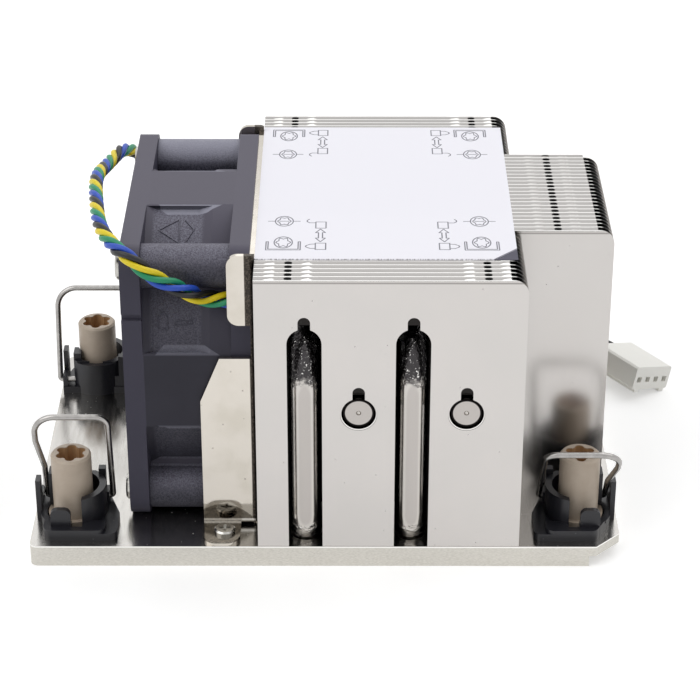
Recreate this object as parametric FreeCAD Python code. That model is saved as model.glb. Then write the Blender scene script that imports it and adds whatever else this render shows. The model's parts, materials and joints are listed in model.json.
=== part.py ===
"""An active processor cooler for a two-unit server, with its fan, its four nuts and their wires.

Units are millimetres. The origin is the middle of the base plate's underside, which is the
face that meets the processor. X runs from the fan to the outlet, Y across the plate and Z up.
"""
import FreeCAD, Part
import math
import os

V = FreeCAD.Vector
X_AXIS, Y_AXIS, Z_AXIS = V(1, 0, 0), V(0, 1, 0), V(0, 0, 1)

# Clearances shared by every piece
SEAT_GAP = 0.3          # between free faces of neighbouring pieces
RUNNING_FIT = 0.04      # radial, pin in hole
PRESS_GAP = 0.01        # radial, a pressed or soldered round seat

# Base plate
BASE_LENGTH = 118.0
BASE_THICKNESS = 4.6
BASE_CORNER_R = 1.5
MARK_CHAMFER = 5.0      # the one cut corner, that shows which way round the plate goes
MARK_RELIEF_LENGTH = 6.3
MARK_RELIEF_WIDTH = 8.0
MARK_RELIEF_Z = 2.4
NUT_SETBACK_X = 8.0     # of the nuts' middles from the plate's ends
NUT_SETBACK_Y = 11.0    # and from its sides
STUD_HOLE_R = 3.3

# Fin stack
FIN_COUNT = 48
BANK_FINS = 13          # short fins at the front, and as many at the rear
FIN_THICKNESS = 0.3
BANK_NUT_GAP = 3.2      # between a short fin and the retainers
MIDDLE_FIN_SETBACK = 2.4    # of a long fin from the plate's end
STACK_SETBACK = 0.1     # of the first fin from the plate's front
FIN_TOP = 64.0
FIN_CORNER_R = 3.0
FLANGE_SETBACK = 3.3    # the top flange stops this far short of the fin's right edge
LOCK_SLOT_WIDTH = 1.3
LOCK_SLOT_DEPTH = 0.75
LOCK_SLOT_INSETS = (6.5, 7.6)   # of the slots from a short fin's left and right ends
MIDDLE_LOCK_SLOT_INSET = 11.1   # from a long fin's right end

# Heat pipes
PIPE_R = 3.0
FIRST_PIPE_INSET = 9.5      # of the first pipe's middle from the fins' left edge
PIPE_PITCH = 10.43
PIPE_COUNT = 4
FRONT_BEND_HEIGHT = 50.3    # middle of the upper run of the pipes that bend at the front
REAR_BEND_HEIGHT = 35.1     # and of those that bend at the rear
PIPE_LOWER_BEND_R = 8.0
PIPE_UPPER_BEND_R = 12.0
PIPE_SETBACK = 0.35         # a pipe lies this far behind the stack's end fin
PIPE_FLOOR = 0.5            # base plate left below a pipe
PIPE_DIMPLE_R = 0.5
PIPE_HOLE_R = 3.35
SOLDER_NOTCH_WIDTH = 2.4
SOLDER_NOTCH_RISE = 5.8

# Fan
FAN_SIZE = 60.0
FAN_DEPTH = 25.0
FAN_Y = 0.2
FAN_BOTTOM = 5.0
FAN_CORNER_R = 4.2
FAN_FLANGE = 3.9
FAN_WALL = 1.4          # between the bore and the flange's side, where it is thinnest
BARREL_WALL = 2.4
FAN_HOLE_INSET = 5.0    # of the screws' holes from the fan's sides
FAN_HOLE_R = 2.15
FAN_NUT_GAP = 2.3       # between the fan and the retainers
INLET_LIP = 0.9         # how far the bore opens out at the inlet
INLET_ANGLE = 40.0
BOSS_R = 4.3            # of the round post about each screw's hole
BOSS_WEB = 5.0          # width of the rib that ties a post to the barrel
POCKET_DEPTH = 1.0      # of the sunk panels in the barrel, one at each corner
POCKET_START = 15.5     # degrees from the middle of the fan's side to a panel's edge
POCKET_ENDS = (0.1, 4.1)    # of the panel's rim, from the two flanges
POCKET_SLOPES = (2.0, 2.6)  # of the panel's two ends, along the axis
SIDE_NOTCH_Z = 50.5
SIDE_NOTCH_HEIGHT = 1.4
SIDE_NOTCH_DEPTH = 0.8
STRUT_COUNT = 4
STRUT_WIDTH = 3.0
STRUT_ANGLE = 20.0
MOUNT_DISC_R = 15.0
MOUNT_DISC_THICKNESS = 2.2
MOUNT_SETBACK = 0.8

# Impeller
HUB_R = 15.2
HUB_WALL = 1.2
HUB_FACE = 1.4
HUB_SETBACK = 1.0
HUB_LENGTH = 19.0
HUB_EDGE_R = 1.2
BLADE_COUNT = 7
BLADE_TIP_GAP = 0.6
BLADE_THICKNESS = 1.3
BLADE_START = 1.0       # from the hub's face
BLADE_LENGTH = 16.8     # along the axis
BLADE_SWEEP = 21.0      # along the hub's rim
BLADE_BOW = 2.4
BLADE_LEAN = 16.0       # degrees that the tip runs ahead of the root

# Motor
YOKE_WALL = 0.8
YOKE_LENGTH = 15.0
MAGNET_WALL = 1.7
MAGNET_LENGTH = 11.0
MAGNET_INSET = 2.6
AIR_GAP = 0.4
STATOR_LENGTH = 7.0
STATOR_POLES = 4
STATOR_CORE_R = 5.4
POLE_WIDTH = 3.4
POLE_SHOE = 1.3
COIL_WALL = 1.5
COIL_LENGTH = 3.0
BEARING_TUBE_R = 4.6
BEARING_R = 3.5
BEARING_WIDTH = 2.5
SHAFT_R = 1.5
BEARING_FLOOR = 0.8     # of the mount left behind the rear bearing
BOARD_THICKNESS = 0.8
BOARD_R = 12.6

# Fan bracket
SHEET = 1.0
BRACKET_DROP = 0.8      # of the sheet's upper edge below the fan's top
FOLD_R = 1.0            # outside radius of the ears' folds
BRACKET_RISE = 0.4      # the sheet's lower edge stands this far above the plate
UPPER_EAR_LENGTH = 4.4
UPPER_EAR_HEIGHT = 15.0
UPPER_EAR_RISE = 0.2    # above the fan's top
UPPER_EAR_R = 2.2
LOWER_EAR_TOP = 42.9
LOWER_EAR_NECK = 6.2    # ear's length at its top
LOWER_EAR_LENGTH = 10.1
LOWER_EAR_SLANT = 9.6   # height over which the ear widens
EAR_RELIEF = 0.8        # height of the gap beside the foot's fold
FOOT_WIDTH = 7.5
FOOT_REACH = 7.7        # from the ear's face to the plate's edge
FOOT_CORNER_R = 2.8
FOOT_SETBACK = 0.1      # the foot's toe stops this far inside the plate's edge
FOOT_SCREW_SETBACK = 4.0
FOOT_SCREW_OFFSET = 0.6 # the screw stands this far right of the foot's middle

# Screws
FAN_SCREW_R = 1.5
FAN_SCREW_HEAD_R = 2.7
FAN_SCREW_HEAD = 1.0    # head's height
FOOT_SCREW_R = 1.25
FOOT_SCREW_HEAD_R = 2.1
FOOT_SCREW_HEAD = 0.9
FOOT_SCREW_LENGTH = 4.2
DRIVE_WIDTH = 0.55

# Label
LABEL_THICKNESS = 0.12
LABEL_INSET = 1.6       # from the short fins' right edge
LABEL_FRONT_INSET = 8.6     # from the stack's front
LABEL_REAR_INSET = 6.4      # and from its rear
LABEL_CUT = 4.6

# Captive nuts
NUT_R = 4.05
NUT_TOP = 19.7
NUT_FLANGE_R = 5.1
NUT_FLANGE = 1.5
NUT_LIFT = 0.25         # the flange hangs this far above the plate
NUT_BORE_R = 2.2
NUT_BORE_DEPTH = 8.0
NUT_SOCKET_R = 3.15
NUT_SOCKET_INNER_R = 2.4
NUT_SOCKET_LOBES = 6
NUT_LOBE_R = 0.95
NUT_SOCKET_DEPTH = 5.0
NUT_EDGE = 0.4
NUT_ROOM = 0.25         # between the nut and what holds it

# Nut retainers, in each corner's own axes: u away from the middle along X, v along Y
RING_WALL = 1.3
RING_TOP = 12.4
RING_BACK_TOP = 12.0
RING_BACK_DEPTH = 1.5       # of the lower stretch at the ring's back
RING_GAP = (-2.3, 4.9)      # the ring is open at the front from here, and on the outer side
KERB_TOP = 7.0
KERB_DEPTH = 3.8
LEDGE_TOP = 6.2
LEDGE_WELL = (-2.3, 7.5)    # the opening in front of the nut, beside the tab: from u, to v
RETAINER_FRONT = 9.0
RETAINER_CORNER_R = 1.6
RETAINER_BACK = -5.6
RETAINER_OUTER = 5.4
RETAINER_INNER = -9.3
RETAINER_SIDE = 1.0         # the inner side is straight from the front to here
RETAINER_SLANT = 2.3        # and moves out by this much from there to the back
RETAINER_CHAMFER = (2.4, 4.4)
TAB_SPAN = (-0.1, 3.9)
TAB_BACK = 6.3
TAB_THICKNESS = 1.1
TAB_TOP = 10.8
TAB_CORNER_R = 1.3
POST_THICKNESS = 1.0
POST_DEPTH = (-2.0, 0.6)
POST_TOP = 13.3
GUIDE_THICKNESS = 0.65
GUIDE_DEPTH = (-4.4, -1.4)
GUIDE_TOP = 13.9
LUG_RISE = 1.5              # of the lugs over the hinge
LUG_HALF = 1.4
INNER_LUG = (-6.95, -3.9)
HOOK_SPAN = (-6.3, -4.9)
HOOK_DEPTH = 1.6
HOOK_TOP = 13.6

# Wires over the nuts
WIRE_R = 0.6
WIRE_GAP = 0.15             # on each side of a wire that lies between guide and post
WIRE_LUG_GAP = 0.1          # between a wire and the outside of a lug
WIRE_HINGE_V = -4.0
WIRE_HINGE_Z = 7.3
WIRE_LENGTH = 21.0          # from the hinge to the crossbar
WIRE_BULGE = 7.1
WIRE_BULGE_START = 7.9      # above the hinge
WIRE_BULGE_END = 14.6
WIRE_PIN = 1.9              # how far the inner end reaches into its lug
WIRE_CORNER_R = 2.4
WIRE_SHOULDER_R = 4.2
WIRE_TUCK_R = 2.5
WIRE_FOOT_R = 0.65
WIRE_LEAN = 11.0            # degrees past upright, away from the middle
WIRE_LEAN_FRONT_RIGHT = 36.0

# Cord and its plug
CABLE_R = 1.4
CORD_EXIT_DROP = 5.7        # of the cord's middle below the screw's hole
CORD_EXIT_INSET = 1.7       # and inside the fan's side
CORD_STUB = 4.5             # straight stretch of the cord at its exit
PLUG_WIDTH = 10.6
PLUG_LENGTH = 13.6
PLUG_HEIGHT = 5.4
PLUG_YAW = 34.5
PLUG_ROLL = 15.5
PLUG_CORNER = (8.9, -12.6)  # from the plate's far right corner
PLUG_WAYS = 4
PLUG_PITCH = 2.54
PLUG_HOLE = 1.3
PLUG_HOLE_DEPTH = 9.0
PLUG_RIB_WIDTH = 1.3
PLUG_RIB_HEIGHT = 0.7
PLUG_RIB_LENGTH = 10.5
PLUG_EDGE = 0.4
PLUG_HOLE_RISE = 2.35       # of the ways' middles over the plug's floor
PLUG_TAIL = 6.0             # straight stretch of the cord behind the plug
CONTACT_SIZE = 1.1
CONTACT_WALL = 0.25
CONTACT_LENGTH = 6.5

# The cord's route, as steps from a corner of the fan or of the plate
CORD_NEAR_FAN = ((14.0, -2.4, -5.8), (7.9, -3.8, -2.1), (1.6, -4.0, 0.0), (-4.0, -0.4, 1.3),
                 (-7.2, 8.0, 1.7))
CORD_OVER_FAN = ((-7.8, -8.2, 1.2), (-8.6, 5.8, -0.2))
CORD_BEHIND_FAN = ((-7.6, -9.2, -2.4), (-3.6, 2.8, -5.0), (2.9, 9.8, -14.0), (9.4, 13.8, -28.0),
                   (14.9, 16.8, -45.5))
CORD_ON_TABLE = ((-4.1, 10.5, 6.5), (3.9, 12.0, 1.5), (15.4, 13.0, 1.5), (32.4, 13.8, 1.5))
CORD_TO_PLUG = ((-26.0, 13.8, 1.5), (-14.0, 13.2, 1.6), (-4.6, 11.2, 2.6))

# Derived sizes
BASE_WIDTH = FAN_SIZE + 2 * (SEAT_GAP + SHEET + FOOT_REACH)
HALF_LENGTH, HALF_WIDTH = BASE_LENGTH / 2, BASE_WIDTH / 2
NUT_X, NUT_Y = HALF_LENGTH - NUT_SETBACK_X, HALF_WIDTH - NUT_SETBACK_Y
STACK_FRONT, STACK_REAR = STACK_SETBACK - HALF_WIDTH, HALF_WIDTH
FAN_LEFT = FAN_NUT_GAP - NUT_X - RETAINER_INNER
FAN_RIGHT = FAN_LEFT + FAN_DEPTH
FIN_LEFT = FAN_RIGHT + SHEET
BANK_FIN_RIGHT = NUT_X + RETAINER_INNER - BANK_NUT_GAP
MIDDLE_FIN_RIGHT = HALF_LENGTH - MIDDLE_FIN_SETBACK
LOCK_SLOT_X = (FIN_LEFT + LOCK_SLOT_INSETS[0], BANK_FIN_RIGHT - LOCK_SLOT_INSETS[1])
MIDDLE_LOCK_SLOT_X = MIDDLE_FIN_RIGHT - MIDDLE_LOCK_SLOT_INSET
FIRST_PIPE_X = FIN_LEFT + FIRST_PIPE_INSET
LABEL_RIGHT = BANK_FIN_RIGHT - LABEL_INSET
LABEL_FRONT, LABEL_REAR = STACK_FRONT + LABEL_FRONT_INSET, STACK_REAR - LABEL_REAR_INSET
FIN_PITCH = (STACK_REAR - STACK_FRONT - FIN_THICKNESS) / (FIN_COUNT - 1)
FAN_Z = FAN_BOTTOM + FAN_SIZE / 2
FAN_TOP = FAN_BOTTOM + FAN_SIZE
FAN_HALF = FAN_SIZE / 2
FAN_BORE_R = FAN_HALF - FAN_WALL
FAN_BARREL_R = FAN_BORE_R + BARREL_WALL
FAN_HOLE_OFFSET = FAN_HALF - FAN_HOLE_INSET
BRACKET_TOP = FAN_TOP - BRACKET_DROP
UPPER_EAR_TOP = FAN_TOP + UPPER_EAR_RISE
UPPER_EAR_BOTTOM = UPPER_EAR_TOP - UPPER_EAR_HEIGHT
BRACKET_HALF = FAN_HALF + SEAT_GAP + SHEET
PIPE_RUN_Z = PIPE_FLOOR + PIPE_R
HUB_LEFT = FAN_LEFT + HUB_SETBACK
MOUNT_RIGHT = FAN_RIGHT - MOUNT_SETBACK
MOUNT_LEFT = MOUNT_RIGHT - MOUNT_DISC_THICKNESS
YOKE_LEFT = HUB_LEFT + HUB_FACE
YOKE_R = HUB_R - HUB_WALL - PRESS_GAP
MAGNET_R = YOKE_R - YOKE_WALL - PRESS_GAP
STATOR_R = MAGNET_R - MAGNET_WALL - AIR_GAP
MAGNET_LEFT = YOKE_LEFT + MAGNET_INSET
STATOR_LEFT = MAGNET_LEFT + (MAGNET_LENGTH - STATOR_LENGTH) / 2
BOARD_LEFT = MOUNT_LEFT - BOARD_THICKNESS
NUT_FOOT = BASE_THICKNESS + NUT_LIFT
RING_BORE_R = NUT_FLANGE_R + SEAT_GAP
RING_R = RING_BORE_R + RING_WALL
GUIDE_INNER = NUT_R + SEAT_GAP
GUIDE_OUTER = GUIDE_INNER + GUIDE_THICKNESS
WIRE_OUTER_TUCKED = GUIDE_OUTER + WIRE_GAP + WIRE_R
POST_INNER = WIRE_OUTER_TUCKED + WIRE_R + WIRE_GAP
POST_OUTER = POST_INNER + POST_THICKNESS
WIRE_OUTER_FREE = POST_OUTER + WIRE_LUG_GAP + WIRE_R
WIRE_INNER = INNER_LUG[0] - WIRE_LUG_GAP - WIRE_R
LUG_TOP = WIRE_HINGE_Z + LUG_RISE


def box(x0, x1, y0, y1, z0, z1):
    """A block between two values on each axis."""
    return Part.makeBox(x1 - x0, y1 - y0, z1 - z0, V(x0, y0, z0))


def drum(radius, start, length, axis=X_AXIS):
    """A round bar that starts at a point and runs along an axis."""
    return Part.makeCylinder(radius, length, start, axis)


def fan_drum(radius, x0, x1):
    """A round bar on the fan's own axis, between two values of X."""
    return drum(radius, V(x0, FAN_Y, FAN_Z), x1 - x0)


def fan_ring(outer, inner, x0, x1):
    """A ring on the fan's own axis."""
    return fan_drum(outer, x0, x1).cut(fan_drum(inner, x0, x1))


def about_fan(shape, degrees):
    """A copy of a shape turned about the fan's axis."""
    turned = shape.copy()
    turned.rotate(V(0, FAN_Y, FAN_Z), X_AXIS, degrees)
    return turned


def polygon(points):
    """A flat face inside a closed run of points."""
    return Part.Face(Part.makePolygon(points + points[:1]))


def fuse(shapes):
    """One solid from shapes that meet, with no seams left on its flat faces."""
    shapes = list(shapes)
    whole = shapes[0].multiFuse(shapes[1:]) if len(shapes) > 1 else shapes[0]
    return whole.removeSplitter()


def cut(shape, tools):
    """A shape with every tool taken out of it."""
    return shape.cut(Part.makeCompound(list(tools)))


def rounded_line(points, radii):
    """The edges of a line through points whose corners are arcs that meet their runs smoothly."""
    edges, start = [], points[0]
    for before, corner, after, radius in zip(points, points[1:], points[2:], radii[1:]):
        back, ahead = (before - corner).normalize(), (after - corner).normalize()
        half_turn = (math.pi - back.getAngle(ahead)) / 2
        run = radius * math.tan(half_turn)
        first, last = corner + back * run, corner + ahead * run
        inward = (back + ahead).normalize()
        middle = corner + inward * (radius / math.cos(half_turn) - radius)
        edges += [Part.makeLine(start, first), Part.Arc(first, middle, last).toShape()]
        start = last
    return edges + [Part.makeLine(start, points[-1])]


def round_bar(edges, radius):
    """A round bar along straight runs and the arcs that join them."""
    pieces = []
    for edge in edges:
        start = edge.valueAt(edge.FirstParameter)
        direction = edge.tangentAt(edge.FirstParameter)
        disc = Part.Face(Part.Wire([Part.makeCircle(radius, start, direction)]))
        if isinstance(edge.Curve, Part.Line):
            pieces.append(disc.extrude(direction * edge.Length))
        else:
            turn = math.degrees(edge.Length / edge.Curve.Radius)
            pieces.append(disc.revolve(edge.Curve.Center, edge.Curve.Axis, turn))
    return fuse(pieces)


def export(shape, name):
    """Write one node's solids."""
    solids = shape.Solids
    shape = solids[0] if len(solids) == 1 else Part.makeCompound(solids)
    shape.exportStep(os.path.join("parts", name + ".step"))
    print(f"{name}: {len(solids)} solid(s), {sum(s.Volume for s in solids):.1f} mm3")


# ---------------------------------------------------------------- base plate and heat pipes

def corners():
    """The name and the outward signs of each corner of the plate."""
    for side_y, row in ((-1, "front"), (1, "rear")):
        for side_x, column in ((-1, "left"), (1, "right")):
            yield f"{row}_{column}", side_x, side_y


def nut_centre(side_x, side_y):
    """Where a corner's nut stands on the plate."""
    return V(side_x * NUT_X, side_y * NUT_Y, 0)


def pipe_places():
    """The X, the end at which it bends and the height of the upper run of each pipe."""
    for number in range(PIPE_COUNT):
        bend_side = -1 if number % 2 == 0 else 1
        height = FRONT_BEND_HEIGHT if bend_side < 0 else REAR_BEND_HEIGHT
        yield FIRST_PIPE_X + number * PIPE_PITCH, bend_side, height


def pipe_run_end():
    """How far from the middle, along Y, a pipe's flat lower run ends."""
    return HALF_WIDTH - PIPE_SETBACK - PIPE_R


def leg_y(bend_side):
    """The Y of a pipe's upright leg."""
    end = STACK_FRONT if bend_side < 0 else STACK_REAR
    return end - bend_side * (PIPE_SETBACK + PIPE_R)


def foot_screw_places():
    """The X and Y of the two screws that hold the bracket's feet."""
    x = FAN_RIGHT - LOWER_EAR_LENGTH + FOOT_WIDTH / 2 + FOOT_SCREW_OFFSET
    for side_y in (-1, 1):
        yield V(x, side_y * (HALF_WIDTH - FOOT_SCREW_SETBACK), 0)


def base_plate():
    """The plated plate, with channels for the pipes and holes for the studs."""
    plate = box(-HALF_LENGTH, HALF_LENGTH, -HALF_WIDTH, HALF_WIDTH, 0, BASE_THICKNESS)
    rounded = [e for e in plate.Edges if abs(e.tangentAt(e.FirstParameter).z) > 0.9
               and not (e.CenterOfMass.x > 0 and e.CenterOfMass.y < 0)]
    plate = plate.makeFillet(BASE_CORNER_R, rounded)
    mark = polygon([V(HALF_LENGTH, -HALF_WIDTH, 0), V(HALF_LENGTH, MARK_CHAMFER - HALF_WIDTH, 0),
                    V(HALF_LENGTH - MARK_CHAMFER, -HALF_WIDTH, 0)])
    relief = box(HALF_LENGTH - MARK_RELIEF_LENGTH, HALF_LENGTH, -HALF_WIDTH,
                 MARK_RELIEF_WIDTH - HALF_WIDTH, 0, MARK_RELIEF_Z)
    tools = [mark.extrude(V(0, 0, BASE_THICKNESS)), relief]
    for _, side_x, side_y in corners():
        tools.append(drum(STUD_HOLE_R, nut_centre(side_x, side_y), BASE_THICKNESS, Z_AXIS))
    screw_depth = FOOT_SCREW_LENGTH - SHEET
    for place in foot_screw_places():
        bottom = place + V(0, 0, BASE_THICKNESS - screw_depth)
        tools.append(drum(FOOT_SCREW_R + PRESS_GAP, bottom, screw_depth, Z_AXIS))
    radius = PIPE_R + PRESS_GAP
    for x, bend_side, _ in pipe_places():
        bend = leg_y(bend_side) - bend_side * PIPE_LOWER_BEND_R / 4
        y0, y1 = sorted((bend, -bend_side * pipe_run_end()))
        tools.append(drum(radius, V(x, y0, PIPE_RUN_Z), y1 - y0, Y_AXIS))
        tools.append(box(x - radius, x + radius, y0, y1, PIPE_RUN_Z, BASE_THICKNESS))
        tools.append(drum(radius, V(x, bend, PIPE_FLOOR), BASE_THICKNESS, Z_AXIS))
    return cut(plate, tools)


def heat_pipe(x, bend_side, height):
    """A pipe along the base, up one end of the stack and back through its fins."""
    leg = leg_y(bend_side)
    inward = -bend_side
    far_end = inward * pipe_run_end()
    top_end = (STACK_REAR if inward > 0 else STACK_FRONT) - inward * PIPE_SETBACK
    points = [V(x, far_end, PIPE_RUN_Z), V(x, leg, PIPE_RUN_Z), V(x, leg, height),
              V(x, top_end, height)]
    pipe = round_bar(rounded_line(points, [0, PIPE_LOWER_BEND_R, PIPE_UPPER_BEND_R, 0]), PIPE_R)
    flat_start, flat_end = sorted((far_end + inward, leg + inward * PIPE_LOWER_BEND_R))
    pressed = box(x - 2 * PIPE_R, x + 2 * PIPE_R, flat_start, flat_end, BASE_THICKNESS,
                  PIPE_RUN_Z + 2 * PIPE_R)
    dimple = Part.makeSphere(PIPE_DIMPLE_R, points[-1])
    return cut(pipe, [pressed, dimple])


# ---------------------------------------------------------------- fins

def fin_blank(number):
    """One folded fin, before its holes: an upright sheet with a flange at its top and foot."""
    y = STACK_FRONT + number * FIN_PITCH
    middle = BANK_FINS <= number < FIN_COUNT - BANK_FINS
    right = MIDDLE_FIN_RIGHT if middle else BANK_FIN_RIGHT
    fold = FIN_PITCH if number < FIN_COUNT - 1 else FIN_THICKNESS
    inner = y + FIN_THICKNESS
    corner = V(right - FIN_CORNER_R, y, FIN_TOP - FIN_CORNER_R)
    diagonal = FIN_CORNER_R * math.sqrt(0.5)
    arc = Part.Arc(corner + V(FIN_CORNER_R, 0, 0), corner + V(diagonal, 0, diagonal),
                   corner + V(0, 0, FIN_CORNER_R)).toShape()
    foot_left, foot_right = V(FIN_LEFT, y, BASE_THICKNESS), V(right, y, BASE_THICKNESS)
    top_left = V(FIN_LEFT, y, FIN_TOP)
    outline = Part.Wire([Part.makeLine(foot_left, foot_right),
                         Part.makeLine(foot_right, corner + V(FIN_CORNER_R, 0, 0)), arc,
                         Part.makeLine(corner + V(0, 0, FIN_CORNER_R), top_left),
                         Part.makeLine(top_left, foot_left)])
    sheet = Part.Face(outline).extrude(V(0, FIN_THICKNESS, 0))
    if fold == FIN_THICKNESS:
        return sheet
    top = box(FIN_LEFT, right - FLANGE_SETBACK, inner, y + fold, FIN_TOP - FIN_THICKNESS, FIN_TOP)
    foot = box(FIN_LEFT, right, inner, y + fold, BASE_THICKNESS, BASE_THICKNESS + FIN_THICKNESS)
    return fuse([sheet, top, foot])


def lock_slots(number):
    """The small openings in a fin's top flange, where the next fin's tongue is hooked in.

    The label lies over those of its own stretch, and they are left out.
    """
    y = STACK_FRONT + number * FIN_PITCH + FIN_THICKNESS
    middle = BANK_FINS <= number < FIN_COUNT - BANK_FINS
    covered = LABEL_FRONT < y < LABEL_REAR
    places = (() if covered else LOCK_SLOT_X) + ((MIDDLE_LOCK_SLOT_X,) if middle else ())
    for x in places:
        yield box(x - LOCK_SLOT_WIDTH / 2, x + LOCK_SLOT_WIDTH / 2, y, y + LOCK_SLOT_DEPTH,
                  FIN_TOP - 2 * FIN_THICKNESS, FIN_TOP + FIN_THICKNESS)


def round_hole(x, height, y0, y1):
    """A pipe's round hole with the round-topped notch above it that takes the solder."""
    half = SOLDER_NOTCH_WIDTH / 2
    top = height + SOLDER_NOTCH_RISE
    return fuse([drum(PIPE_HOLE_R, V(x, y0, height), y1 - y0, Y_AXIS),
                 box(x - half, x + half, y0, y1, height, top - half),
                 drum(half, V(x, y0, top - half), y1 - y0, Y_AXIS)])


def square_slot(x, bottom, height, y0, y1):
    """A pipe's opening with flats in place of its round edge, for the fins inside the stack."""
    return box(x - PIPE_HOLE_R, x + PIPE_HOLE_R, y0, y1, bottom, height + PIPE_HOLE_R)


def fin_openings(number):
    """Everything that is punched out of one fin.

    A pipe that bends near the fin takes a slot from the fin's foot up to the pipe's upper run.
    """
    y = STACK_FRONT + number * FIN_PITCH
    y0, y1 = y - FIN_THICKNESS / 2, y + FIN_PITCH + FIN_THICKNESS / 2
    foot = BASE_THICKNESS - FIN_THICKNESS
    end_fin = number in (0, FIN_COUNT - 1)
    slot_reach = PIPE_SETBACK + PIPE_R + PIPE_UPPER_BEND_R
    for x, bend_side, height in pipe_places():
        from_bend = y - STACK_FRONT if bend_side < 0 else STACK_REAR - y - FIN_THICKNESS
        bends_here = from_bend < slot_reach
        if end_fin:
            yield round_hole(x, height, y0, y1)
        else:
            bottom = foot if bends_here else height - PIPE_HOLE_R
            yield square_slot(x, bottom, height, y0, y1)
        if end_fin and bends_here:
            yield box(x - PIPE_HOLE_R, x + PIPE_HOLE_R, y0, y1, foot, height)
    yield from lock_slots(number)


def fin_bank(first, last):
    """A run of fins, each a solid of its own."""
    return Part.makeCompound([cut(fin_blank(n), fin_openings(n)) for n in range(first, last)])


def label():
    """The sheet stuck over the fins' flanges, with one corner cut off."""
    right, front = LABEL_RIGHT, LABEL_FRONT
    return polygon([V(FIN_LEFT, front, FIN_TOP), V(right - LABEL_CUT, front, FIN_TOP),
                    V(right, front + LABEL_CUT, FIN_TOP), V(right, LABEL_REAR, FIN_TOP),
                    V(FIN_LEFT, LABEL_REAR, FIN_TOP)]).extrude(V(0, 0, LABEL_THICKNESS))


# ---------------------------------------------------------------- fan

def fan_square(x0, x1, half, radius):
    """A square plate with round corners, on the fan's axis."""
    block = box(x0, x1, FAN_Y - half, FAN_Y + half, FAN_Z - half, FAN_Z + half)
    along = [e for e in block.Edges if abs(e.tangentAt(e.FirstParameter).x) > 0.9]
    return block.makeFillet(radius, along)


def fan_hole_places():
    """The Y and Z of the fan's four mounting holes."""
    for side_y in (-1, 1):
        for side_z in (-1, 1):
            yield FAN_Y + side_y * FAN_HOLE_OFFSET, FAN_Z + side_z * FAN_HOLE_OFFSET


def cord_exit():
    """The point on the fan's outlet flange where the cord comes out."""
    return V(FAN_RIGHT - FAN_FLANGE, FAN_Y - FAN_HALF + CORD_EXIT_INSET,
             FAN_Z + FAN_HOLE_OFFSET - CORD_EXIT_DROP)


def corner_webs():
    """The ribs that tie the round posts to the barrel, one in each corner."""
    reach = FAN_HOLE_OFFSET * math.sqrt(2)
    web = box(FAN_LEFT, FAN_RIGHT, FAN_Y - BOSS_WEB / 2, FAN_Y + BOSS_WEB / 2,
              FAN_Z + (FAN_BORE_R + FAN_BARREL_R) / 2, FAN_Z + reach)
    return [about_fan(web, 45 + k * 90) for k in range(4)]


def corner_pockets():
    """The sunk panels of the barrel, with sloping ends, one across each corner."""
    rim, floor = FAN_BARREL_R + POCKET_DEPTH, FAN_BARREL_R - POCKET_DEPTH
    x0 = FAN_LEFT + FAN_FLANGE + POCKET_ENDS[0]
    x1 = FAN_RIGHT - FAN_FLANGE - POCKET_ENDS[1]
    outline = [(x0 - POCKET_SLOPES[0], rim), (x1 + POCKET_SLOPES[1], rim),
               (x1 - POCKET_SLOPES[1], floor), (x0 + POCKET_SLOPES[0], floor)]
    panel = polygon([V(x, FAN_Y, FAN_Z + r) for x, r in outline])
    pocket = panel.revolve(V(0, FAN_Y, FAN_Z), X_AXIS, 90 - 2 * POCKET_START)
    return [about_fan(pocket, POCKET_START + k * 90) for k in range(4)]


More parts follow.
